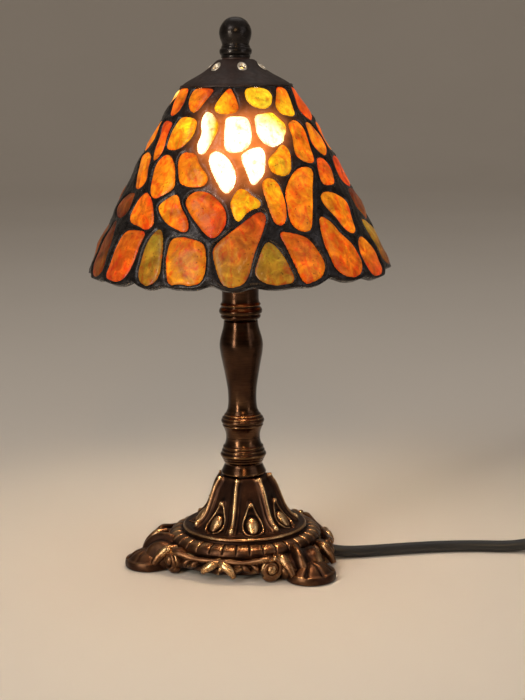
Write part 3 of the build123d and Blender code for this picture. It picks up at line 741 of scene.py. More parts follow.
def grown(outline, width):
    """Move a closed outline outwards."""
    outline = even_outline(outline, 60)
    along = np.roll(outline, -1, axis=0) - np.roll(outline, 1, axis=0)
    along /= np.linalg.norm(along, axis=1)[:, None]
    return outline + width * np.stack([along[:, 1], -along[:, 0]], 1)


def even_outline(outline, count):
    closed = np.vstack([outline, outline[:1]])
    along = np.concatenate([[0], np.cumsum(np.linalg.norm(np.diff(closed, axis=0), axis=1))])
    where = np.arange(count) / count * along[-1]
    return np.stack([np.interp(where, along, closed[:, 0]), np.interp(where, along, closed[:, 1])], axis=1)


STONE_TURN = -1.5
STONE_GROWTH = 0.35
LOW_CAST = (0.78, 0.92, 1.0)  # less light reaches the stones near the rim


class Stone:
    """One amber stone: its outline on the shade, flat in mm, about its own middle."""

    SIDES = 40

    def __init__(self, corners, first, second, direction):
        corners = np.array(corners, float) + (STONE_TURN, 0)
        self.bearing = corners[:, 0].mean()
        slants = slant_at(corners[:, 1])
        self.slant = slants.mean()
        across = np.radians(corners[:, 0] - self.bearing) * radius_at(slants)
        flat = np.stack([across, slants - self.slant], 1)
        area = np.sum(flat[:, 0] * np.roll(flat[:, 1], -1) - np.roll(flat[:, 0], -1) * flat[:, 1])
        if area < 0:
            flat = flat[::-1]
        self.outline = even_outline(grown(rounded(flat), STONE_GROWTH), self.SIDES)
        # Painted shade: the glow dims towards the rim, where less light reaches.
        low = np.clip((215.0 - corners[:, 1].mean()) / 35.0, 0, 1)
        cast = np.array((1.06, 1.10, 1.0)) * (1 - low) + np.array(LOW_CAST) * low
        self.tones = np.array(TONES[first]) * cast, np.array(TONES[second]) * cast
        direction = np.array([direction[0], -direction[1]], float)
        self.direction = direction / np.linalg.norm(direction)
        self.hot = min(1.0, max(0.0, (sum(TONES[first]) + sum(TONES[second])) / 2 - 1.9) / 4.0)

    def tone(self, flat):
        """Painted glow colour at flat points, shading from the first tone to the second."""
        reach = self.outline @ self.direction
        share = (flat @ self.direction - reach.min()) / (reach.max() - reach.min())
        share = np.clip((share - 0.15) / 0.7, 0, 1)[:, None]
        return self.tones[0] * (1 - share) + self.tones[1] * share

    def place(self, flat, lift):
        slant = flat[:, 1] + self.slant
        bearing = self.bearing + np.degrees(flat[:, 0] / radius_at(slant))
        return on_shade(bearing, slant, lift)

    def distance(self, flat):
        """Signed distance from flat points to the outline, positive outside."""
        a, b = self.outline, np.roll(self.outline, -1, axis=0)
        edge = b - a
        offset = flat[:, None, :] - a[None]
        share = np.clip((offset * edge).sum(-1) / (edge**2).sum(-1), 0, 1)
        near = np.linalg.norm(offset - share[..., None] * edge, axis=-1).min(axis=1)
        crossing = (a[None, :, 1] > flat[:, None, 1]) != (b[None, :, 1] > flat[:, None, 1])
        with np.errstate(divide="ignore", invalid="ignore"):
            at = a[:, 0] + (flat[:, None, 1] - a[:, 1]) / (b[:, 1] - a[:, 1]) * (b[:, 0] - a[:, 0])
        inside = (crossing & (flat[:, None, 0] < at)).sum(axis=1) % 2 == 1
        return np.where(inside, -near, near)


DOME = 0.95
INSETS = (0.0, 0.25, 0.55, 0.9, 1.3)
SHRINKS = (0.86, 0.70, 0.53, 0.36, 0.19)


def stone_mesh(stone, points, faces, insets, tones):
    """Domed outer face, side wall and flat inner face of one stone."""
    outline = stone.outline
    count = len(outline)
    along = np.roll(outline, -1, axis=0) - np.roll(outline, 1, axis=0)
    along /= np.linalg.norm(along, axis=1)[:, None]
    inward = np.stack([-along[:, 1], along[:, 0]], 1)
    middle = outline.mean(axis=0)
    reach = -stone.distance(middle[None])[0]
    rings, depths = [], []
    for inset in INSETS:
        rings.append(outline + inward * min(inset, 0.6 * reach))
        depths.append(np.full(count, inset))
    last = rings[-1]
    for shrink in SHRINKS:
        ring = middle + (last - middle) * shrink
        rings.append(ring)
        depths.append(np.maximum(-stone.distance(ring), INSETS[-1]))
    rings.append(middle[None])
    depths.append(np.array([max(reach, INSETS[-1])]))
    start = len(points)

    def add(flat, lift, inset):
        points.extend(stone.place(flat, lift))
        insets.extend(inset)
        tones.extend(stone.tone(flat))

    for flat, depth in zip(rings, depths):
        wave = 0.10 * np.sin(flat[:, 0] * 1.1 + stone.bearing)
        wave = wave * np.cos(flat[:, 1] * 0.9 + stone.bearing * 0.7)
        settle = np.clip(depth / 2.0, 0, 1)
        add(flat, -0.25 + DOME * (1 - np.exp(-depth / 1.1)) + wave * settle, depth)
    for k in range(len(rings) - 2):
        for j in range(count):
            i = (j + 1) % count
            a, b = start + k * count, start + (k + 1) * count
            faces.append((a + j, a + i, b + i, b + j))
    centre = start + (len(rings) - 1) * count
    top = start + (len(rings) - 2) * count
    faces.extend((top + j, top + (j + 1) % count, centre) for j in range(count))
    back = len(points)
    add(outline, np.full(count, -SHADE_THICKNESS + 0.3), np.zeros(count))
    add(middle + (outline - middle) * 0.85, np.full(count, -SHADE_THICKNESS - 0.2), np.full(count, 1.2))
    add(middle + (outline - middle) * 0.4, np.full(count, -SHADE_THICKNESS - 0.45), np.full(count, 2.5))
    add(middle[None], np.array([-SHADE_THICKNESS - 0.5]), np.array([3.0]))
    for j in range(count):
        i = (j + 1) % count
        faces.append((start + i, start + j, back + j, back + i))
        for k in range(2):
            a, b = back + k * count, back + (k + 1) * count
            faces.append((a + i, a + j, b + j, b + i))
        faces.append((back + 2 * count + i, back + 2 * count + j, back + 3 * count))


stones_by_row = {
    row: [Stone(*stone) for stone in FRONT_STONES[row] + back_stones(row)] for row in FRONT_STONES
}
all_stones = [stone for stones in stones_by_row.values() for stone in stones]
amber_look = amber_stone()
for row, stones in stones_by_row.items():
    points, faces, insets, tones = [], [], [], []
    for stone in stones:
        stone_mesh(stone, points, faces, insets, tones)
    obj = new_mesh(f"amber_stones_{row}", points, faces, {"inset": insets, "tone": tones})
    finish_piece(obj, "shade", amber_look, [f"amber_row_{row}"])


# ---- shade: the solder between the stones -------------------------------------------------------
WEB_COLUMNS = 620
WEB_ROWS = 150
BEAD_HEIGHT = 0.95
BEAD_HALF = 1.9
RIM_WIDTH = 1.6
SPILL_REACH = 4.2
SPILL_TONE = np.array((0.62, 0.15, 0.025))


def stone_distances(bearings, slants):
    """For points of the shade: distance to the nearest stone, and light spilled by clear ones."""
    nearest = np.full(len(bearings), 30.0)
    spill = np.zeros(len(bearings))
    radii = radius_at(slants)
    for stone in all_stones:
        turn = (bearings - stone.bearing + 180) % 360 - 180
        flat = np.stack([np.radians(turn) * radii, slants - stone.slant], 1)
        margin = 14.0 if stone.hot else 7.0
        low, high = stone.outline.min(axis=0) - margin, stone.outline.max(axis=0) + margin
        near = np.flatnonzero(np.all((flat > low) & (flat < high), axis=1))
        if not len(near):
            continue
        gap = stone.distance(flat[near])
        nearest[near] = np.minimum(nearest[near], gap)
        if stone.hot:
            spill[near] += stone.hot * np.exp(-np.clip(gap, 0, None) / SPILL_REACH)
    return nearest, spill


def rim_slants(bearings):
    """Lower edge of the shade: it follows the stones, a bead's width below them."""
    levels = np.linspace(RIM_SLANT - 12, RIM_SLANT, 60)
    grid_b, grid_s = np.repeat(bearings, len(levels)), np.tile(levels, len(bearings))
    gap = stone_distances(grid_b, grid_s)[0].reshape(len(bearings), len(levels))
    inside = gap < RIM_WIDTH
    last = np.array([levels[np.flatnonzero(row)[-1]] if row.any() else levels[0] for row in inside])
    reach = 8
    wide = np.concatenate([last[-reach:], last, last[:reach]])
    highest = np.array([wide[i:i + 2 * reach + 1].max() for i in range(len(last))])
    level = 0.35 * last + 0.65 * highest
    kernel = np.hanning(2 * reach + 3)[1:-1]
    wide = np.concatenate([level[-reach:], level, level[:reach]])
    return np.convolve(wide, kernel / kernel.sum(), "valid")


def web_side(bearings, slants, outside):
    """Distance to the nearest stone, the light on one side of the web, and its lift."""
    gap, spill = stone_distances(bearings, slants)
    share = np.clip(gap / BEAD_HALF, -0.6, 1)
    bead = BEAD_HEIGHT * np.where(share > 0, np.sqrt(np.clip(1 - (1 - share) ** 2, 0, 1)), share)
    ripple = 0.10 * np.sin(bearings * 0.9 + slants * 0.8) * np.sin(bearings * 0.37 - slants * 0.55)
    lift = bead - 0.15 + ripple * np.clip(share, 0, 1)
    if not outside:
        lift = -SHADE_THICKNESS - 0.8 * bead + 0.3
    return gap, spill, lift


def solder_web():
    bearings = np.arange(WEB_COLUMNS) / WEB_COLUMNS * 360 - 180
    rims = rim_slants(bearings)
    share = np.linspace(0, 1, WEB_ROWS)
    slants = (share[:, None] * rims[None, :]).ravel()
    around = np.tile(bearings, WEB_ROWS)
    gap, spill, lift = web_side(around, slants, True)
    inner_lift = web_side(around, slants, False)[2]
    at_rim = np.arange(len(slants)) >= (WEB_ROWS - 2) * WEB_COLUMNS
    lift = np.where(at_rim, lift - 0.5, lift)
    outer = on_shade(around, slants, lift)
    inner = on_shade(around, slants, inner_lift)
    faces = []
    keep = gap > -0.75
    used = np.zeros(WEB_ROWS * WEB_COLUMNS, bool)
    for i in range(WEB_ROWS - 1):
        for j in range(WEB_COLUMNS):
            k = (j + 1) % WEB_COLUMNS
            here, below = i * WEB_COLUMNS, (i + 1) * WEB_COLUMNS
            corners = (here + j, here + k, below + k, below + j)
            if keep[list(corners)].any():
                faces.append(corners[::-1])
                faces.append(tuple(c + len(outer) for c in corners))
                used[list(corners)] = True
    for i, turn in ((0, 1), (WEB_ROWS - 1, -1)):
        for j in range(WEB_COLUMNS):
            a, b = i * WEB_COLUMNS + j, i * WEB_COLUMNS + (j + 1) % WEB_COLUMNS
            strip = (a, b, b + len(outer), a + len(outer))
            faces.append(strip[::turn])
    points = np.vstack([outer, inner])
    light = np.concatenate([spill, np.zeros(len(inner))])
    everywhere = np.concatenate([used, used])
    everywhere[:WEB_COLUMNS] = everywhere[len(outer):len(outer) + WEB_COLUMNS] = True
    numbers = np.cumsum(everywhere) - 1
    faces = [tuple(int(numbers[i]) for i in face) for face in faces]
    colours = (light[:, None] ** 1.3) * SPILL_TONE
    web = new_mesh("solder_lines", points[everywhere], faces, {"spill": colours[everywhere]})
    finish_piece(web, "shade", solder(), ["solder_web"])


solder_web()


# ---- base ---------------------------------------------------------------------------------------
FEET = (42.0, -78.0, 162.0)  # bearings of the three feet
TOE_TURN = {42.0: -2.5, -78.0: 2.5}  # the two front toes point a little further forward
TOE_MIDDLE, TOE_REACH, TOE_HALF_WIDTH = 55.3, 13.6, 13.8
KNUCKLE_MIDDLE = (46.5, 5.2)  # out and up
KNUCKLE_SIZE = (12.2, 14.6, 11.2)
KNUCKLE_FLOOR = 1.2
VOLUTE_OFFSETS = {42.0: 26, -78.0: 23.5, 162.0: 26}  # bearing of a scroll from its foot
VOLUTE_RADIUS, VOLUTE_HEIGHT, VOLUTE_SIZE = 49.8, 7.8, 5.9
FLUTES = 7
FLUTE_BEARING = 10.4
BEADS = 35


def polar(bearing, radius, height):
    angle = np.radians(bearing)
    return np.stack(np.broadcast_arrays(radius * np.sin(angle), -radius * np.cos(angle), height), axis=-1)


def directions(bearing):
    """Outwards, sideways and up at a bearing."""
    a = math.radians(bearing)
    out = np.array([math.sin(a), -math.cos(a), 0.0])
    return out, np.array([math.cos(a), math.sin(a), 0.0]), np.array([0.0, 0.0, 1.0])


def closed_grid(rows, columns):
    """Faces of a grid of rings with both ends closed."""
    ends = [tuple(reversed(range(columns))), tuple(range((rows - 1) * columns, rows * columns))]
    return grid_faces(rows, columns) + ends


def relief(profile, columns, shape):
    """A sheet turned about Z and raised by shape(bearing, distance down the profile) -> (lift, rub)."""
    profile = np.asarray(profile, float)
    along = np.gradient(profile, axis=0)
    along /= np.linalg.norm(along, axis=1)[:, None]
    down = np.concatenate([[0], np.cumsum(np.linalg.norm(np.diff(profile, axis=0), axis=1))])
    bearings = np.linspace(-180, 180, columns, endpoint=False)
    around, distance = np.meshgrid(bearings, down)
    lift, rub = shape(around, distance)
    radius = profile[:, :1] - along[:, 1:] * lift
    height = profile[:, 1:] + along[:, :1] * lift
    points = polar(around, radius, height).reshape(-1, 3)
    return points, grid_faces(len(profile), columns, flip=True), np.clip(rub, 0, 1).ravel()


def flute_offset(bearing):
    """Bearing from the middle of the nearest flute."""
    pitch = 360 / FLUTES
    return (np.asarray(bearing) - FLUTE_BEARING + pitch / 2) % pitch - pitch / 2


CONE_PROFILE = smooth_line([(12.3, 49.0), (13.6, 47.2), (17.0, 42.3), (20.0, 34.6), (22.6, 28.4),
                            (26.2, 23.6), (29.5, 21.2), (31.5, 20.4)], 14)
CONE_DOWN = np.concatenate([[0], np.cumsum(np.linalg.norm(np.diff(CONE_PROFILE, axis=0), axis=1))])
ARCH_DOWN = (14.8, 15.6, 18.0, 21.0, 24.0, 27.0, 30.0, 32.5, 34.0)
ARCH_HALF = (0.0, 1.0, 1.9, 3.2, 4.7, 5.7, 5.8, 4.8, 2.5)
EGG_DOWN, EGG_LONG, EGG_WIDE = 27.2, 5.1, 3.7


def cone_shape(bearing, down):
    """Hollow flutes between narrow ribs, each with an egg under a pointed arch."""
    radius = np.interp(down, CONE_DOWN, CONE_PROFILE[:, 0])
    side = np.radians(np.abs(flute_offset(bearing))) * radius
    edge = np.radians(180 / FLUTES) * radius
    from_rib = edge - side
    fade = between(down, 1.4, 33.6, 0.45)
    rib = fade * (bump_of(from_rib, 1.45) + 0.35 * bump_of(from_rib - 2.3, 0.6) * between(down, 12, 40, 2.0))
    hollow = np.clip(1 - (side / np.maximum(edge - 1.2, 1)) ** 2, 0, 1) ** 0.6
    hollow = hollow * between(down, 2.2, 33.0, 0.9)
    arch_half = np.interp(down, ARCH_DOWN, ARCH_HALF, left=-9, right=-9)
    arch = bump_of(side - arch_half, 0.5) * (arch_half > -1)
    tip = np.exp(-((side / 1.5) ** 2) - ((down - 15.9) / 1.7) ** 2)
    inside = np.clip(1 - (side / 5.6) ** 2 - ((down - 27.4) / 6.6) ** 2, 0, 1) ** 0.5
    egg = np.clip(1 - (side / EGG_WIDE) ** 2 - ((down - EGG_DOWN) / EGG_LONG) ** 2, 0, 1) ** 0.5
    shell_half = 5.9 * np.clip(1 - ((down - 28.0) / 5.6) ** 2, 0, 1) ** 0.5
    shell = bump_of(side - shell_half, 0.7) * between(down, 28.5, 40, 0.4)
    hook = bump_of(down - 2.4, 1.0) * bump_of(from_rib - 0.6, 1.7)
    rib_foot = bump_of(down - 31.8, 2.1) * bump_of(from_rib, 2.2)
    lift = 1.8 * rib - 1.5 * hollow + 0.75 * arch + 1.6 * tip - 0.9 * inside + 3.2 * egg + 0.6 * shell
    lift = lift + 0.8 * hook + 0.9 * rib_foot - 0.8 * (1 - between(down, 0.6, 60, 0.25))
    rub = 0.95 * fade * bump_of(from_rib, 0.95) + 0.25 * arch + 0.75 * tip + 0.85 * egg + 0.2 * shell
    return lift, rub + 0.7 * hook + 0.6 * rib_foot


RING_PROFILE = smooth_line([(30.9, 20.4), (32.6, 20.5), (34.2, 20.2), (34.9, 19.3), (34.6, 18.3),
                            (35.3, 17.5), (36.6, 17.5), (38.6, 17.2), (40.8, 16.3), (42.4, 14.8),
                            (43.0, 13.1), (42.5, 11.8), (41.6, 11.1), (41.0, 10.2)], 8)


def ring_shape(bearing, down):
    """A plain raised ring, a groove, and a ring of thirty-five soft beads."""
    pitch = 360 / BEADS
    offset = np.abs((np.asarray(bearing) + 2.0 + pitch / 2) % pitch - pitch / 2)
    seam = bump_of(np.radians(pitch / 2 - offset) * 40, 0.34)
    on_beads = between(down, 7.6, 15.2, 0.45)
    swell = 0.35 * np.cos(np.pi * offset / pitch) * on_beads
    lift = swell - 0.75 * seam * on_beads - 0.35 * bump_of(down - 6.4, 0.5)
    rub = 0.75 * bump_of(down - 3.8, 0.9) + 0.62 * on_beads * (1 - seam) * between(down, 7.0, 12.6, 0.8)
    rub = rub + 0.2 * bump_of(seam - 0.5, 0.3) * on_beads
    return lift, rub


def foot_offset(bearing):
    """Bearing from the nearest foot."""
    return (np.asarray(bearing) - FEET[0] + 60) % 120 - 60


SKIRT_PROFILE = smooth_line([(40.8, 11.0), (42.6, 10.9), (44.6, 10.0), (46.0, 8.2), (46.2, 6.0), (45.2, 4.0),
                             (43.4, 2.9), (41.6, 3.4), (40.6, 6.0)], 8)


def skirt_shape(bearing, down):
    """Leafy border under the beads, waved along its lower edge."""
    offset = foot_offset(bearing)
    away = np.abs(np.abs(offset) - 60)
    veins = np.abs(np.sin(np.radians(offset) * 13 + 0.35 * down))
    band = between(down, 1.0, 12.5, 0.7)
    lift = band * (0.75 * veins - 0.7) + 0.7 * bump_of(down - 1.9, 0.7)
    lift = lift - 1.0 * band * bump_of(away - 17.0, 7.0) + 0.5 * band * bump_of(away, 9.0)
    rub = 0.55 * band * veins**4 + 0.7 * bump_of(down - 1.9, 0.6)
    return lift, rub


def lump(bearing, middle, size, shape, rows=34, columns=64, floor=None):
    """Rounded boss at (radius, height) on a bearing; size is (outwards, sideways, upwards).

    shape(outwards, sideways, upwards), each from -1 to 1, gives (lift, rub).
    """
    polar_angle = np.linspace(0.02, math.pi - 0.02, rows)
    turn = np.arange(columns) / columns * 2 * math.pi
    turn, tilt = np.meshgrid(turn, polar_angle)
    unit = np.stack([np.sin(tilt) * np.cos(turn), np.sin(tilt) * np.sin(turn), np.cos(tilt)], -1)
    lift, rub = shape(unit[..., 0], unit[..., 1], unit[..., 2])
    local = unit * (np.array(size) + lift[..., None])
    local[..., 0] += middle[0]
    local[..., 2] += middle[1]
    if floor is not None:
        local[..., 2] = np.maximum(local[..., 2], floor)
    points = (local @ np.array(directions(bearing))).reshape(-1, 3)
    return points, facing_out(points, closed_grid(rows, columns)), np.clip(rub, 0, 1).ravel()


def toe(shape, foot):
    """Front of a foot: an upright band on the ground, a crest line above it and a carved brow."""
    columns = 120
    turn = np.arange(columns) / columns * 2 * math.pi
    levels = [(0.96, 0.3), (1.0, 0.8), (1.01, 2.0), (1.0, 3.4), (0.985, 4.2), (0.97, 4.7), (0.93, 5.0),
              (0.87, 5.2), (0.80, 5.9), (0.72, 6.9), (0.62, 7.9), (0.50, 8.7), (0.36, 9.3), (0.20, 9.7),
              (0.05, 9.8)]
    levels = smooth_line(levels, 3)
    points, rubs = [], []
    for share, height in levels:
        fan = np.arctan2(np.sin(turn), np.cos(turn) + 0.35)
        carved = bump_of(np.abs(np.sin(fan * 5.2 + 0.5)), 0.36) * between(fan, -1.6, 0.45, 0.1)
        depth = float(between(height, 5.0, 9.2, 0.35)) * carved
        out = TOE_MIDDLE + TOE_REACH * share * np.cos(turn)
        side = TOE_HALF_WIDTH * share * np.sin(turn)
        z = height - 1.5 * depth
        points.append(np.stack([out - 0.5 * depth, side, z], 1))
        crest = 0.5 * float(bump_of(height - 4.9, 0.45))
        brow = float(between(height, 5.6, 12, 0.4)) * (1 - carved) * 0.30
        rubs.append(np.clip(crest + brow + 0.02, 0, 1))
    placed = np.vstack(points) @ np.array(directions(foot))
    shape.add(placed, facing_out(placed, closed_grid(len(levels), columns)), np.concatenate(rubs))


def knuckle_shape(out, side, up):
    """Raised back of a foot: slanting leaf ridges."""
    ridges = np.sin(7.6 * (0.85 * side + 0.5 * out + 0.3 * up) + 0.6 * np.sin(3 * side) + 0.8)
    on_top = between(up, -0.05, 2, 0.1) * (1 - 0.7 * between(side, 0.55, 2, 0.08))
    lift = on_top * (1.7 * np.clip(ridges, -0.8, 1) - 0.5)
    rub = on_top * np.clip(ridges, 0, 1) ** 3 * 0.45
    return lift, rub


def volute(shape, bearing, radius, height, size, hand):
    """Scroll that curls round a boss; hand is +1 or -1 for the way it winds."""
    turns, steps = 1.6, 64
    share = np.linspace(0, 1, steps)
    angle = math.pi / 2 - hand * (share * turns * 2 * math.pi + 0.2)
    spiral = size * (1 - 0.74 * share**0.85)
    width = 1.75 * (1 - 0.40 * share)
    out, side, up = directions(bearing)
    centre = out * radius + up * height
    path = (centre + np.outer(spiral * np.cos(angle), side) + np.outer(spiral * np.sin(angle), up)
            + np.outer(0.2 + 1.5 * share, out))
    points, faces = tube(path, width, 14)
    shape.add(points, faces, 0.14)
    drum = [centre + out * d for d in np.linspace(-11, 0.4, 10)]
    points, faces = tube(drum, np.array([3.6, 4.6, 5.3, 5.6, 5.7, 5.7, 5.6, 5.4, 5.2, 4.6]) * size / 5.6, 32)
    shape.add(points, faces, 0.0)
    for place, extent, wear in (((radius + 1.7, height + 0.1), (1.9, 2.7, 2.7), 0.40),
                                ((radius - 1.4, height - size * 0.78), (3.4, 4.6, 3.0), 0.12)):
        shape.add(*lump(bearing, place, extent, lambda o, s, u: (0 * o, wear + 0 * o), 14, 26))


def leaf(shape, places, widths, rub):
    """A tapered ridge through (bearing, radius, height) places."""
    path = smooth_line([polar(*place) for place in places], 8)
    radii = np.interp(np.linspace(0, 1, len(path)), np.linspace(0, 1, len(widths)), widths)
    points, faces = tube(path, radii, 12)
    shape.add(points, faces, rub)


def border_leaves(side):
    """Ribbon, cheek leaf and three hanging leaves beside a foot.

    Each has its places as (bearing from the foot, radius, height), its widths and how bare it is.
    """
    return [
        ([(60, 45.6, 11.6), (50, 46.4, 11.0), (40, 47.6, 11.4), (31, 49.6, 13.0), (27, 50.6, 12.9)],
         (0.9, 1.3, 1.5, 1.7, 1.5), 0.10),
        ([(21, 44.5, 13.6), (18.5, 50.0, 12.2), (16.5, 54.5, 8.6), (15.5, 57.5, 4.6)],
         (1.6, 2.9, 2.6, 1.6), 0),
        ([(60.5, 46.6, 10.6), (56, 48.0, 9.4), (51.5, 48.8, 7.0), (49.5, 48.6, 4.0 + 0.8 * side)],
         (1.5, 2.5, 2.4, 1.5), 0.22),
        ([(45, 46.6, 9.6), (42, 47.8, 8.2), (39, 47.4, 6.2)], (1.0, 1.9, 1.0), 0),
        ([(38, 46.8, 9.8), (35, 48.0, 8.0), (34, 47.4, 5.4)], (0.9, 1.6, 0.9), 0),
    ]


def foot_ornaments(shape, foot):
    """One foot with its scrolls, and half of the border on each side of it."""
    turned = foot + TOE_TURN.get(foot, 0.0)
    shape.add(*lump(turned, KNUCKLE_MIDDLE, KNUCKLE_SIZE, knuckle_shape, 56, 130, KNUCKLE_FLOOR))
    toe(shape, turned)
    for side in (-1, 1):
        volute(shape, foot + side * VOLUTE_OFFSETS[foot], VOLUTE_RADIUS, VOLUTE_HEIGHT, VOLUTE_SIZE, -side)
        for places, widths, rub in border_leaves(side):
            placed = [(foot + side * turn, radius, height) for turn, radius, height in places]
            leaf(shape, placed, widths, rub)


def underside():
    """Inner wall of the hollow casting, joined to its lower edge."""
    profile = smooth_line([(43.4, 2.9), (41.0, 3.2), (38.6, 6.0), (37.0, 9.5), (29.6, 13.4), (23.2, 16.4),
                           (23.0, 23.6), (16.8, 24.4), (9.4, 40.5), (5.2, 41.4)], 3)
    return relief(profile, 120, lambda bearing, down: (0 * down, 0 * down))


def add_base():
    look = cast_bronze()
    cone = Builder()
    cone.add(*relief(CONE_PROFILE, 720, cone_shape))
    finish_piece(cone.worn_object("base_cone"), "stand", look, ["base_casting"])
    rings = Builder()
    rings.add(*relief(RING_PROFILE, 700, ring_shape))
    finish_piece(rings.worn_object("base_rings"), "stand", look)
    skirt = Builder()
    skirt.add(*relief(SKIRT_PROFILE, 540, skirt_shape))
    skirt.add(*underside())
    finish_piece(skirt.worn_object("base_skirt"), "stand", look)
    for number, foot in enumerate(FEET, start=1):
        shape = Builder()
        foot_ornaments(shape, foot)
        finish_piece(shape.worn_object(f"base_foot_{number}", depth=1.4), "stand", look)


add_base()


# ---- stem ---------------------------------------------------------------------------------------
ROD_BORE = 5.15
STEM_PIECES = {
    "foot_collar": [(12.0, 49.0), (12.5, 49.3), (12.6, 50.0), (12.2, 50.9), (11.6, 52.2), (11.0, 53.6),
                    (10.5, 54.6), (10.7, 55.4), (11.3, 56.4), (11.4, 57.2), (12.0, 57.9), (12.2, 58.8),
                    (12.8, 59.4), (12.9, 60.3), (12.4, 61.1), (12.0, 61.6), (12.1, 62.3), (11.7, 63.0),
                    (11.2, 63.5), (11.4, 64.2), (11.2, 64.9), (10.5, 65.5), (10.0, 66.8), (9.6, 68.6),
                    (9.5, 69.95)],
    "stem_spool": [(9.5, 70.05), (9.6, 71.6), (10.0, 73.4), (10.6, 75.0), (11.2, 76.2), (11.5, 76.8),
                   (11.2, 77.4), (11.3, 77.9), (11.9, 78.4), (12.1, 79.2), (11.9, 80.0), (11.4, 80.4),
                   (11.5, 81.1), (11.0, 81.6), (10.3, 82.3), (10.3, 82.8), (9.5, 83.5), (9.0, 84.45)],
    "baluster": [(9.0, 84.5), (8.3, 86.5), (7.9, 90.6), (8.0, 95.5), (8.5, 100.0), (9.5, 106.0),
                 (10.6, 112.0), (11.6, 117.2), (12.1, 121.8), (11.7, 125.4), (10.8, 128.8), (9.9, 132.2),
                 (9.4, 135.9)],
    "top_collar": [(9.2, 136.1), (9.7, 136.6), (10.5, 137.1), (11.0, 137.8), (11.1, 138.6), (10.7, 139.1),
                   (10.9, 139.6), (11.7, 140.1), (12.0, 141.0), (11.9, 141.9), (11.5, 142.7), (11.1, 143.1),
                   (10.8, 143.6), (10.8, 144.2), (11.2, 144.8), (10.9, 145.4), (10.4, 146.2), (10.2, 147.8),
                   (10.2, 150.0), (10.2, 152.6), (10.4, 154.0), (10.9, 154.8), (11.4, 155.4), (11.5, 156.3),
                   (11.0, 157.0), (10.3, 157.9)],
}


def worn_edges(line, strength=1.0):
    """How rubbed each point of a turned profile is: the ones that stand out most."""
    radius = line[:, 0]
    reach = 7
    padded = np.pad(radius, reach, mode="edge")
    local = np.convolve(padded, np.ones(2 * reach + 1) / (2 * reach + 1), "valid")
    return np.clip((radius - local - 0.06) / 0.20, 0, 1) ** 1.6 * strength


def add_stem():
    look = turned_bronze()
    for name, points in STEM_PIECES.items():
        line = smooth_line(points, 7)
        rub = worn_edges(line, 0.0 if name == "baluster" else 0.9)
        if name == "top_collar":
            rub *= between(line[:, 1], 139.6, 150.0, 0.3)
        profile = np.vstack([[ROD_BORE, line[0, 1]], line, [ROD_BORE, line[-1, 1]]])
        shape = Builder()
        shape.add(*lathe(profile, 112, np.concatenate([[0], rub, [0]])))
        finish_piece(shape.object(f"{name}_turned"), "stand", look, [name])


add_stem()


# ---- cap and finial -----------------------------------------------------------------------------
VENT_COUNT = 6
VENT_RADIUS = 14.5
VENT_BEARING = 13.0
VENT_CUT = 2.15
VENTS = [VENT_RADIUS * np.array([math.sin(a), -math.cos(a)])
         for a in np.radians(VENT_BEARING + 360 / VENT_COUNT * np.arange(VENT_COUNT))]
EYELET = [(1.75, 272.2), (1.75, 273.9), (2.0, 274.1), (2.35, 274.0), (2.6, 273.5), (2.6, 272.2),
          (1.75, 272.2)]
CAP_OUTER = [(9.0, 277.6), (10.2, 277.1), (12.9, 274.9), (16.0, 272.3), (19.6, 269.9), (24.6, 267.2),
             (27.6, 265.4), (29.1, 264.2), (29.7, 262.9)]
CAP_INNER = [(9.0, 276.3), (12.0, 273.9), (15.2, 271.3), (18.9, 268.9), (24.0, 266.1), (27.6, 264.0),
             (28.5, 262.5)]
CAP_SLOPE = 0.84  # how steeply the cap falls at the vents
LINING_FROM, LINING_TO = 11.0, 22.0  # radii between which the bare lining shows through the vents
SEAM_RADIUS, SEAM_HEIGHT = 29.6, 263.35
FINIAL_LINE = [(3.2, 278.45), (7.6, 278.45), (7.8, 279.0), (7.9, 279.7), (8.4, 280.3), (8.7, 281.2),
               (8.7, 282.4), (8.3, 283.2), (7.8, 283.7), (7.7, 284.4), (7.4, 284.9), (7.3, 285.6),
               (7.6, 286.8), (8.2, 288.4), (8.6, 290.2), (8.75, 291.6), (8.45, 293.7), (7.5, 295.8),
               (6.0, 297.8), (4.0, 299.2), (1.9, 299.85), (0.25, 299.95)]


def add_vented(name, profile, look, stands_for=()):
    """Turned sheet with the round vents cut through it."""
    points, faces, rub = lathe(profile, 300)
    flat = np.array(points)[:, :2]
    kept = []
    for face in faces:
        middle = flat[list(face)].mean(axis=0)
        if min(np.hypot(*(middle - vent)) for vent in VENTS) > VENT_CUT:
            kept.append(face)
    shape = Builder()
    shape.add(points, kept, rub)
    finish_piece(shape.object(name), "shade", look, stands_for)


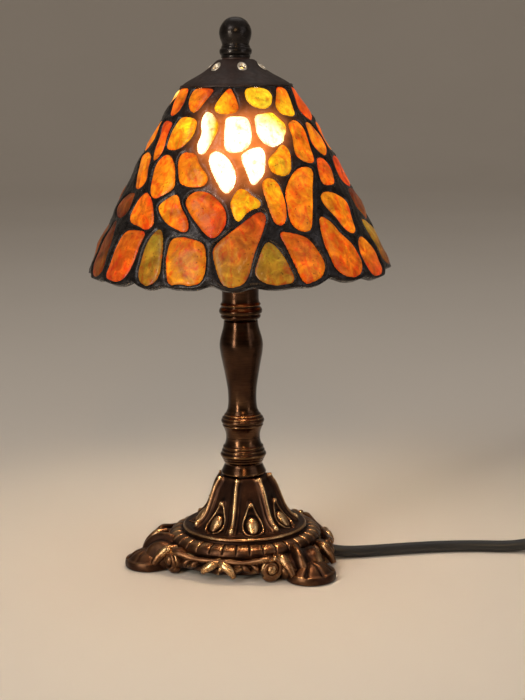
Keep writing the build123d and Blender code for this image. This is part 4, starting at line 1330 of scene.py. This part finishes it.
def add_top():
    """The cap with its bare lining, soldered seam and eyelets, and the turned finial."""
    look = black_patina("cap_patina", (0.015, 0.006, 0.004), (0.44, 0.60), 0.3)
    bare = plain_metal("bare_tin", (0.80, 0.72, 0.60), 0.42)
    outer = smooth_line(CAP_OUTER, 6)
    inner = smooth_line(CAP_INNER, 6)
    profile = np.vstack([[(3.4, 276.35), (3.4, 277.55)], outer, inner[::-1], [(3.4, 276.35)]])
    add_vented("cap_turned", profile, look, ["shade_cap"])
    lining = inner[(inner[:, 0] > LINING_FROM) & (inner[:, 0] < LINING_TO)] - (0.10, 0.12)
    add_vented("cap_lining", np.vstack([lining, lining[::-1] - (0.1, 0.2), lining[:1]]), bare)
    turn = np.linspace(0, 2 * math.pi, 181)
    drift = 0.16 * np.sin(5 * turn) + 0.12 * np.sin(13 * turn + 1.0)
    seam = np.stack([SEAM_RADIUS * np.cos(turn), SEAM_RADIUS * np.sin(turn), SEAM_HEIGHT + drift], 1)
    width = 0.80 + 0.12 * np.sin(17 * turn) + 0.1 * np.sin(8 * turn)
    points, faces = tube(seam, width, 12, closed_ends=False)
    shape = Builder()
    shape.add(points, faces)
    finish_piece(shape.object("cap_seam"), "shade", look)
    shape = Builder()
    for vent in VENTS:
        points, faces, rub = lathe(EYELET, 36)
        points = np.array(points)
        slope = -CAP_SLOPE * points[:, :2] @ vent / VENT_RADIUS
        shape.add(points + (*vent, 0.0) + np.outer(slope, (0, 0, 1.0)), faces, rub)
    finish_piece(shape.object("vent_eyelets"), "shade", bare)
    line = smooth_line(FINIAL_LINE, 6)
    line = line[line[:, 0] > 0.2]
    bore = np.array([(3.2, 289.0), (3.2, 278.6)])
    shape = Builder()
    columns = 80
    points, faces, rub = lathe(np.vstack([[0.2, 289.0], bore, line]), columns)
    faces.append(tuple(range(columns)))
    faces.append(tuple(range(len(points) - columns, len(points))))
    shape.add(points, faces)
    gloss = black_patina("finial_patina", (0.016, 0.013, 0.012), (0.16, 0.30), 0.8)
    finish_piece(shape.object("finial_turned"), "finial", gloss, ["finial"])


add_top()


# ---- pieces that keep their CAD shape -----------------------------------------------------------
def repaint():
    """Finishes for the CAD pieces that are shown as they are."""
    looks = {
        "antique_bronze": turned_bronze("bronze_plain"),
        "felt": felt(),
        "cast_iron": plain_metal("cast_iron", (0.10, 0.10, 0.105), 0.55),
        "zinc_steel": plain_metal("zinc_steel", (0.56, 0.57, 0.58), 0.30),
        "cord_rubber": moulded("rubber", (0.010, 0.010, 0.010), 0.44, 1500.0, 0.00003),
        "black_plastic": moulded("black_plastic", (0.009, 0.009, 0.010), 0.26, 3200.0, 0.00002),
        "ceramic": moulded("ceramic", (0.78, 0.76, 0.72), 0.22, 900.0, 0.00003),
        "brass": plain_metal("brass", (0.62, 0.44, 0.18), 0.26),
        "nickel": plain_metal("nickel", (0.70, 0.68, 0.64), 0.20),
        "bulb_glass": lit_glass(),
        "black_patina": black_patina("cap_patina", (0.030, 0.013, 0.010), (0.50, 0.66), 0.25),
    }
    for part in frame["record"]["subparts"]:
        obj = frame["nodes"][part["node"]]
        if part["material_slot"] in looks:
            for slot in obj.material_slots:
                slot.material = looks[part["material_slot"]]
    return looks


def add_lamp_parts(looks):
    """Globe, and the bow that carries the shade."""
    globe = [(0.3, 244.4), (4.5, 244.05), (9.0, 242.6), (13.4, 240.0), (17.6, 236.0), (20.6, 231.0),
             (22.3, 225.4), (22.4, 219.6), (21.0, 213.6), (18.2, 208.4), (14.6, 204.0), (11.4, 200.2),
             (9.4, 197.2), (8.4, 195.0), (6.9, 193.6)]
    shape = Builder()
    columns = 72
    points, faces, rub = lathe(smooth_line(globe[::-1], 5), columns)
    faces.append(tuple(range(len(points) - columns, len(points))))
    shape.add(points, faces)
    finish_piece(shape.object("bulb_globe"), "bulb", looks["bulb_glass"], ["bulb_glass"])
    half = [(18, 160.6), (18.2, 170), (19.2, 180), (22.6, 190), (26.8, 200), (29.6, 210), (30.6, 222),
            (30.0, 234), (27.0, 247), (21.0, 258), (14.0, 265), (9.6, 269), (8.5, 272.6)]
    shape = Builder()
    for side in (-1, 1):
        path = smooth_line([(side * x, 0.0, z) for x, z in half], 5)
        points, faces = tube(path, 1.45, 20)
        shape.add(points, faces)
    finish_piece(shape.object("harp_wires"), "stand", looks["brass"])


LOOKS = repaint()
add_lamp_parts(LOOKS)


# ---- floor, backdrop and light ------------------------------------------------------------------
def add_stage():
    """Pale floor that curves up into a wall all round."""
    flat, curl, top, columns = 3000, 2200, 4200, 96
    bend = [(flat + curl * math.sin(a), curl * (1 - math.cos(a))) for a in np.linspace(0, math.pi / 2, 24)]
    points, faces, _ = lathe([(0.5, 0), (600, 0), (1500, 0)] + bend + [(flat + curl, top)], columns)
    faces.append(tuple(range(columns)))
    floor = new_mesh("floor", points, faces)
    look = Look("floor_paper", Roughness=0.85)
    cloud = look.noise(2.0, 2.0)
    look.link(look.ramp(cloud, [(0.2, (0.66, 0.615, 0.56)), (0.8, (0.69, 0.645, 0.59))]), "Base Color")
    floor.data.materials.append(look.material)


def area_light(name, place, target, size, power, colour):
    data = bpy.data.lights.new(name, "AREA")
    data.shape = "RECTANGLE"
    data.size, data.size_y = size
    data.energy = power
    data.color = colour
    light = bpy.data.objects.new(name, data)
    bpy.context.collection.objects.link(light)
    away = np.array(place) - np.array(target)
    away /= np.linalg.norm(away)
    side = np.cross((0, 0, 1.0), away)
    side /= np.linalg.norm(side)
    up = np.cross(away, side)
    light.matrix_world = Matrix([(*side, 0), (*up, 0), (*away, 0), (*place, 1)]).transposed()


LIGHTS = (  # name, place and target in m, size, power in W, colour
    ("key", (-0.95, -1.1, 1.35), (0, 0, 0.12), (0.7, 0.7), 8.0, (1.0, 0.96, 0.92)),
    ("fill", (1.3, -0.7, 0.9), (0, 0, 0.1), (1.0, 1.0), 2.2, (0.96, 0.97, 1.0)),
    ("strip_left", (-0.86, -1.02, 0.30), (0, 0, 0.1), (0.13, 0.55), 8.0, (1.0, 0.93, 0.78)),
    ("front", (0.03, -0.85, 0.62), (0, 0, 0.02), (0.10, 0.10), 1.0, (1.0, 0.62, 0.28)),
    ("strip_right", (0.95, -0.80, 0.28), (0, 0, 0.1), (0.14, 0.45), 0.7, (1.0, 0.97, 0.94)),
    ("top", (0.1, 0.5, 1.7), (0, 0, 0.1), (1.2, 1.2), 2.8, (1.0, 0.98, 0.95)),
)


def add_light():
    world = bpy.data.worlds.new("studio")
    bpy.context.scene.world = world
    world.use_nodes = True
    background = world.node_tree.nodes["Background"]
    background.inputs["Color"].default_value = (1.0, 0.90, 0.80, 1.0)
    background.inputs["Strength"].default_value = 0.30
    for light in LIGHTS:
        area_light(*light)
    bpy.context.scene.view_settings.view_transform = "Standard"


add_stage()
add_light()
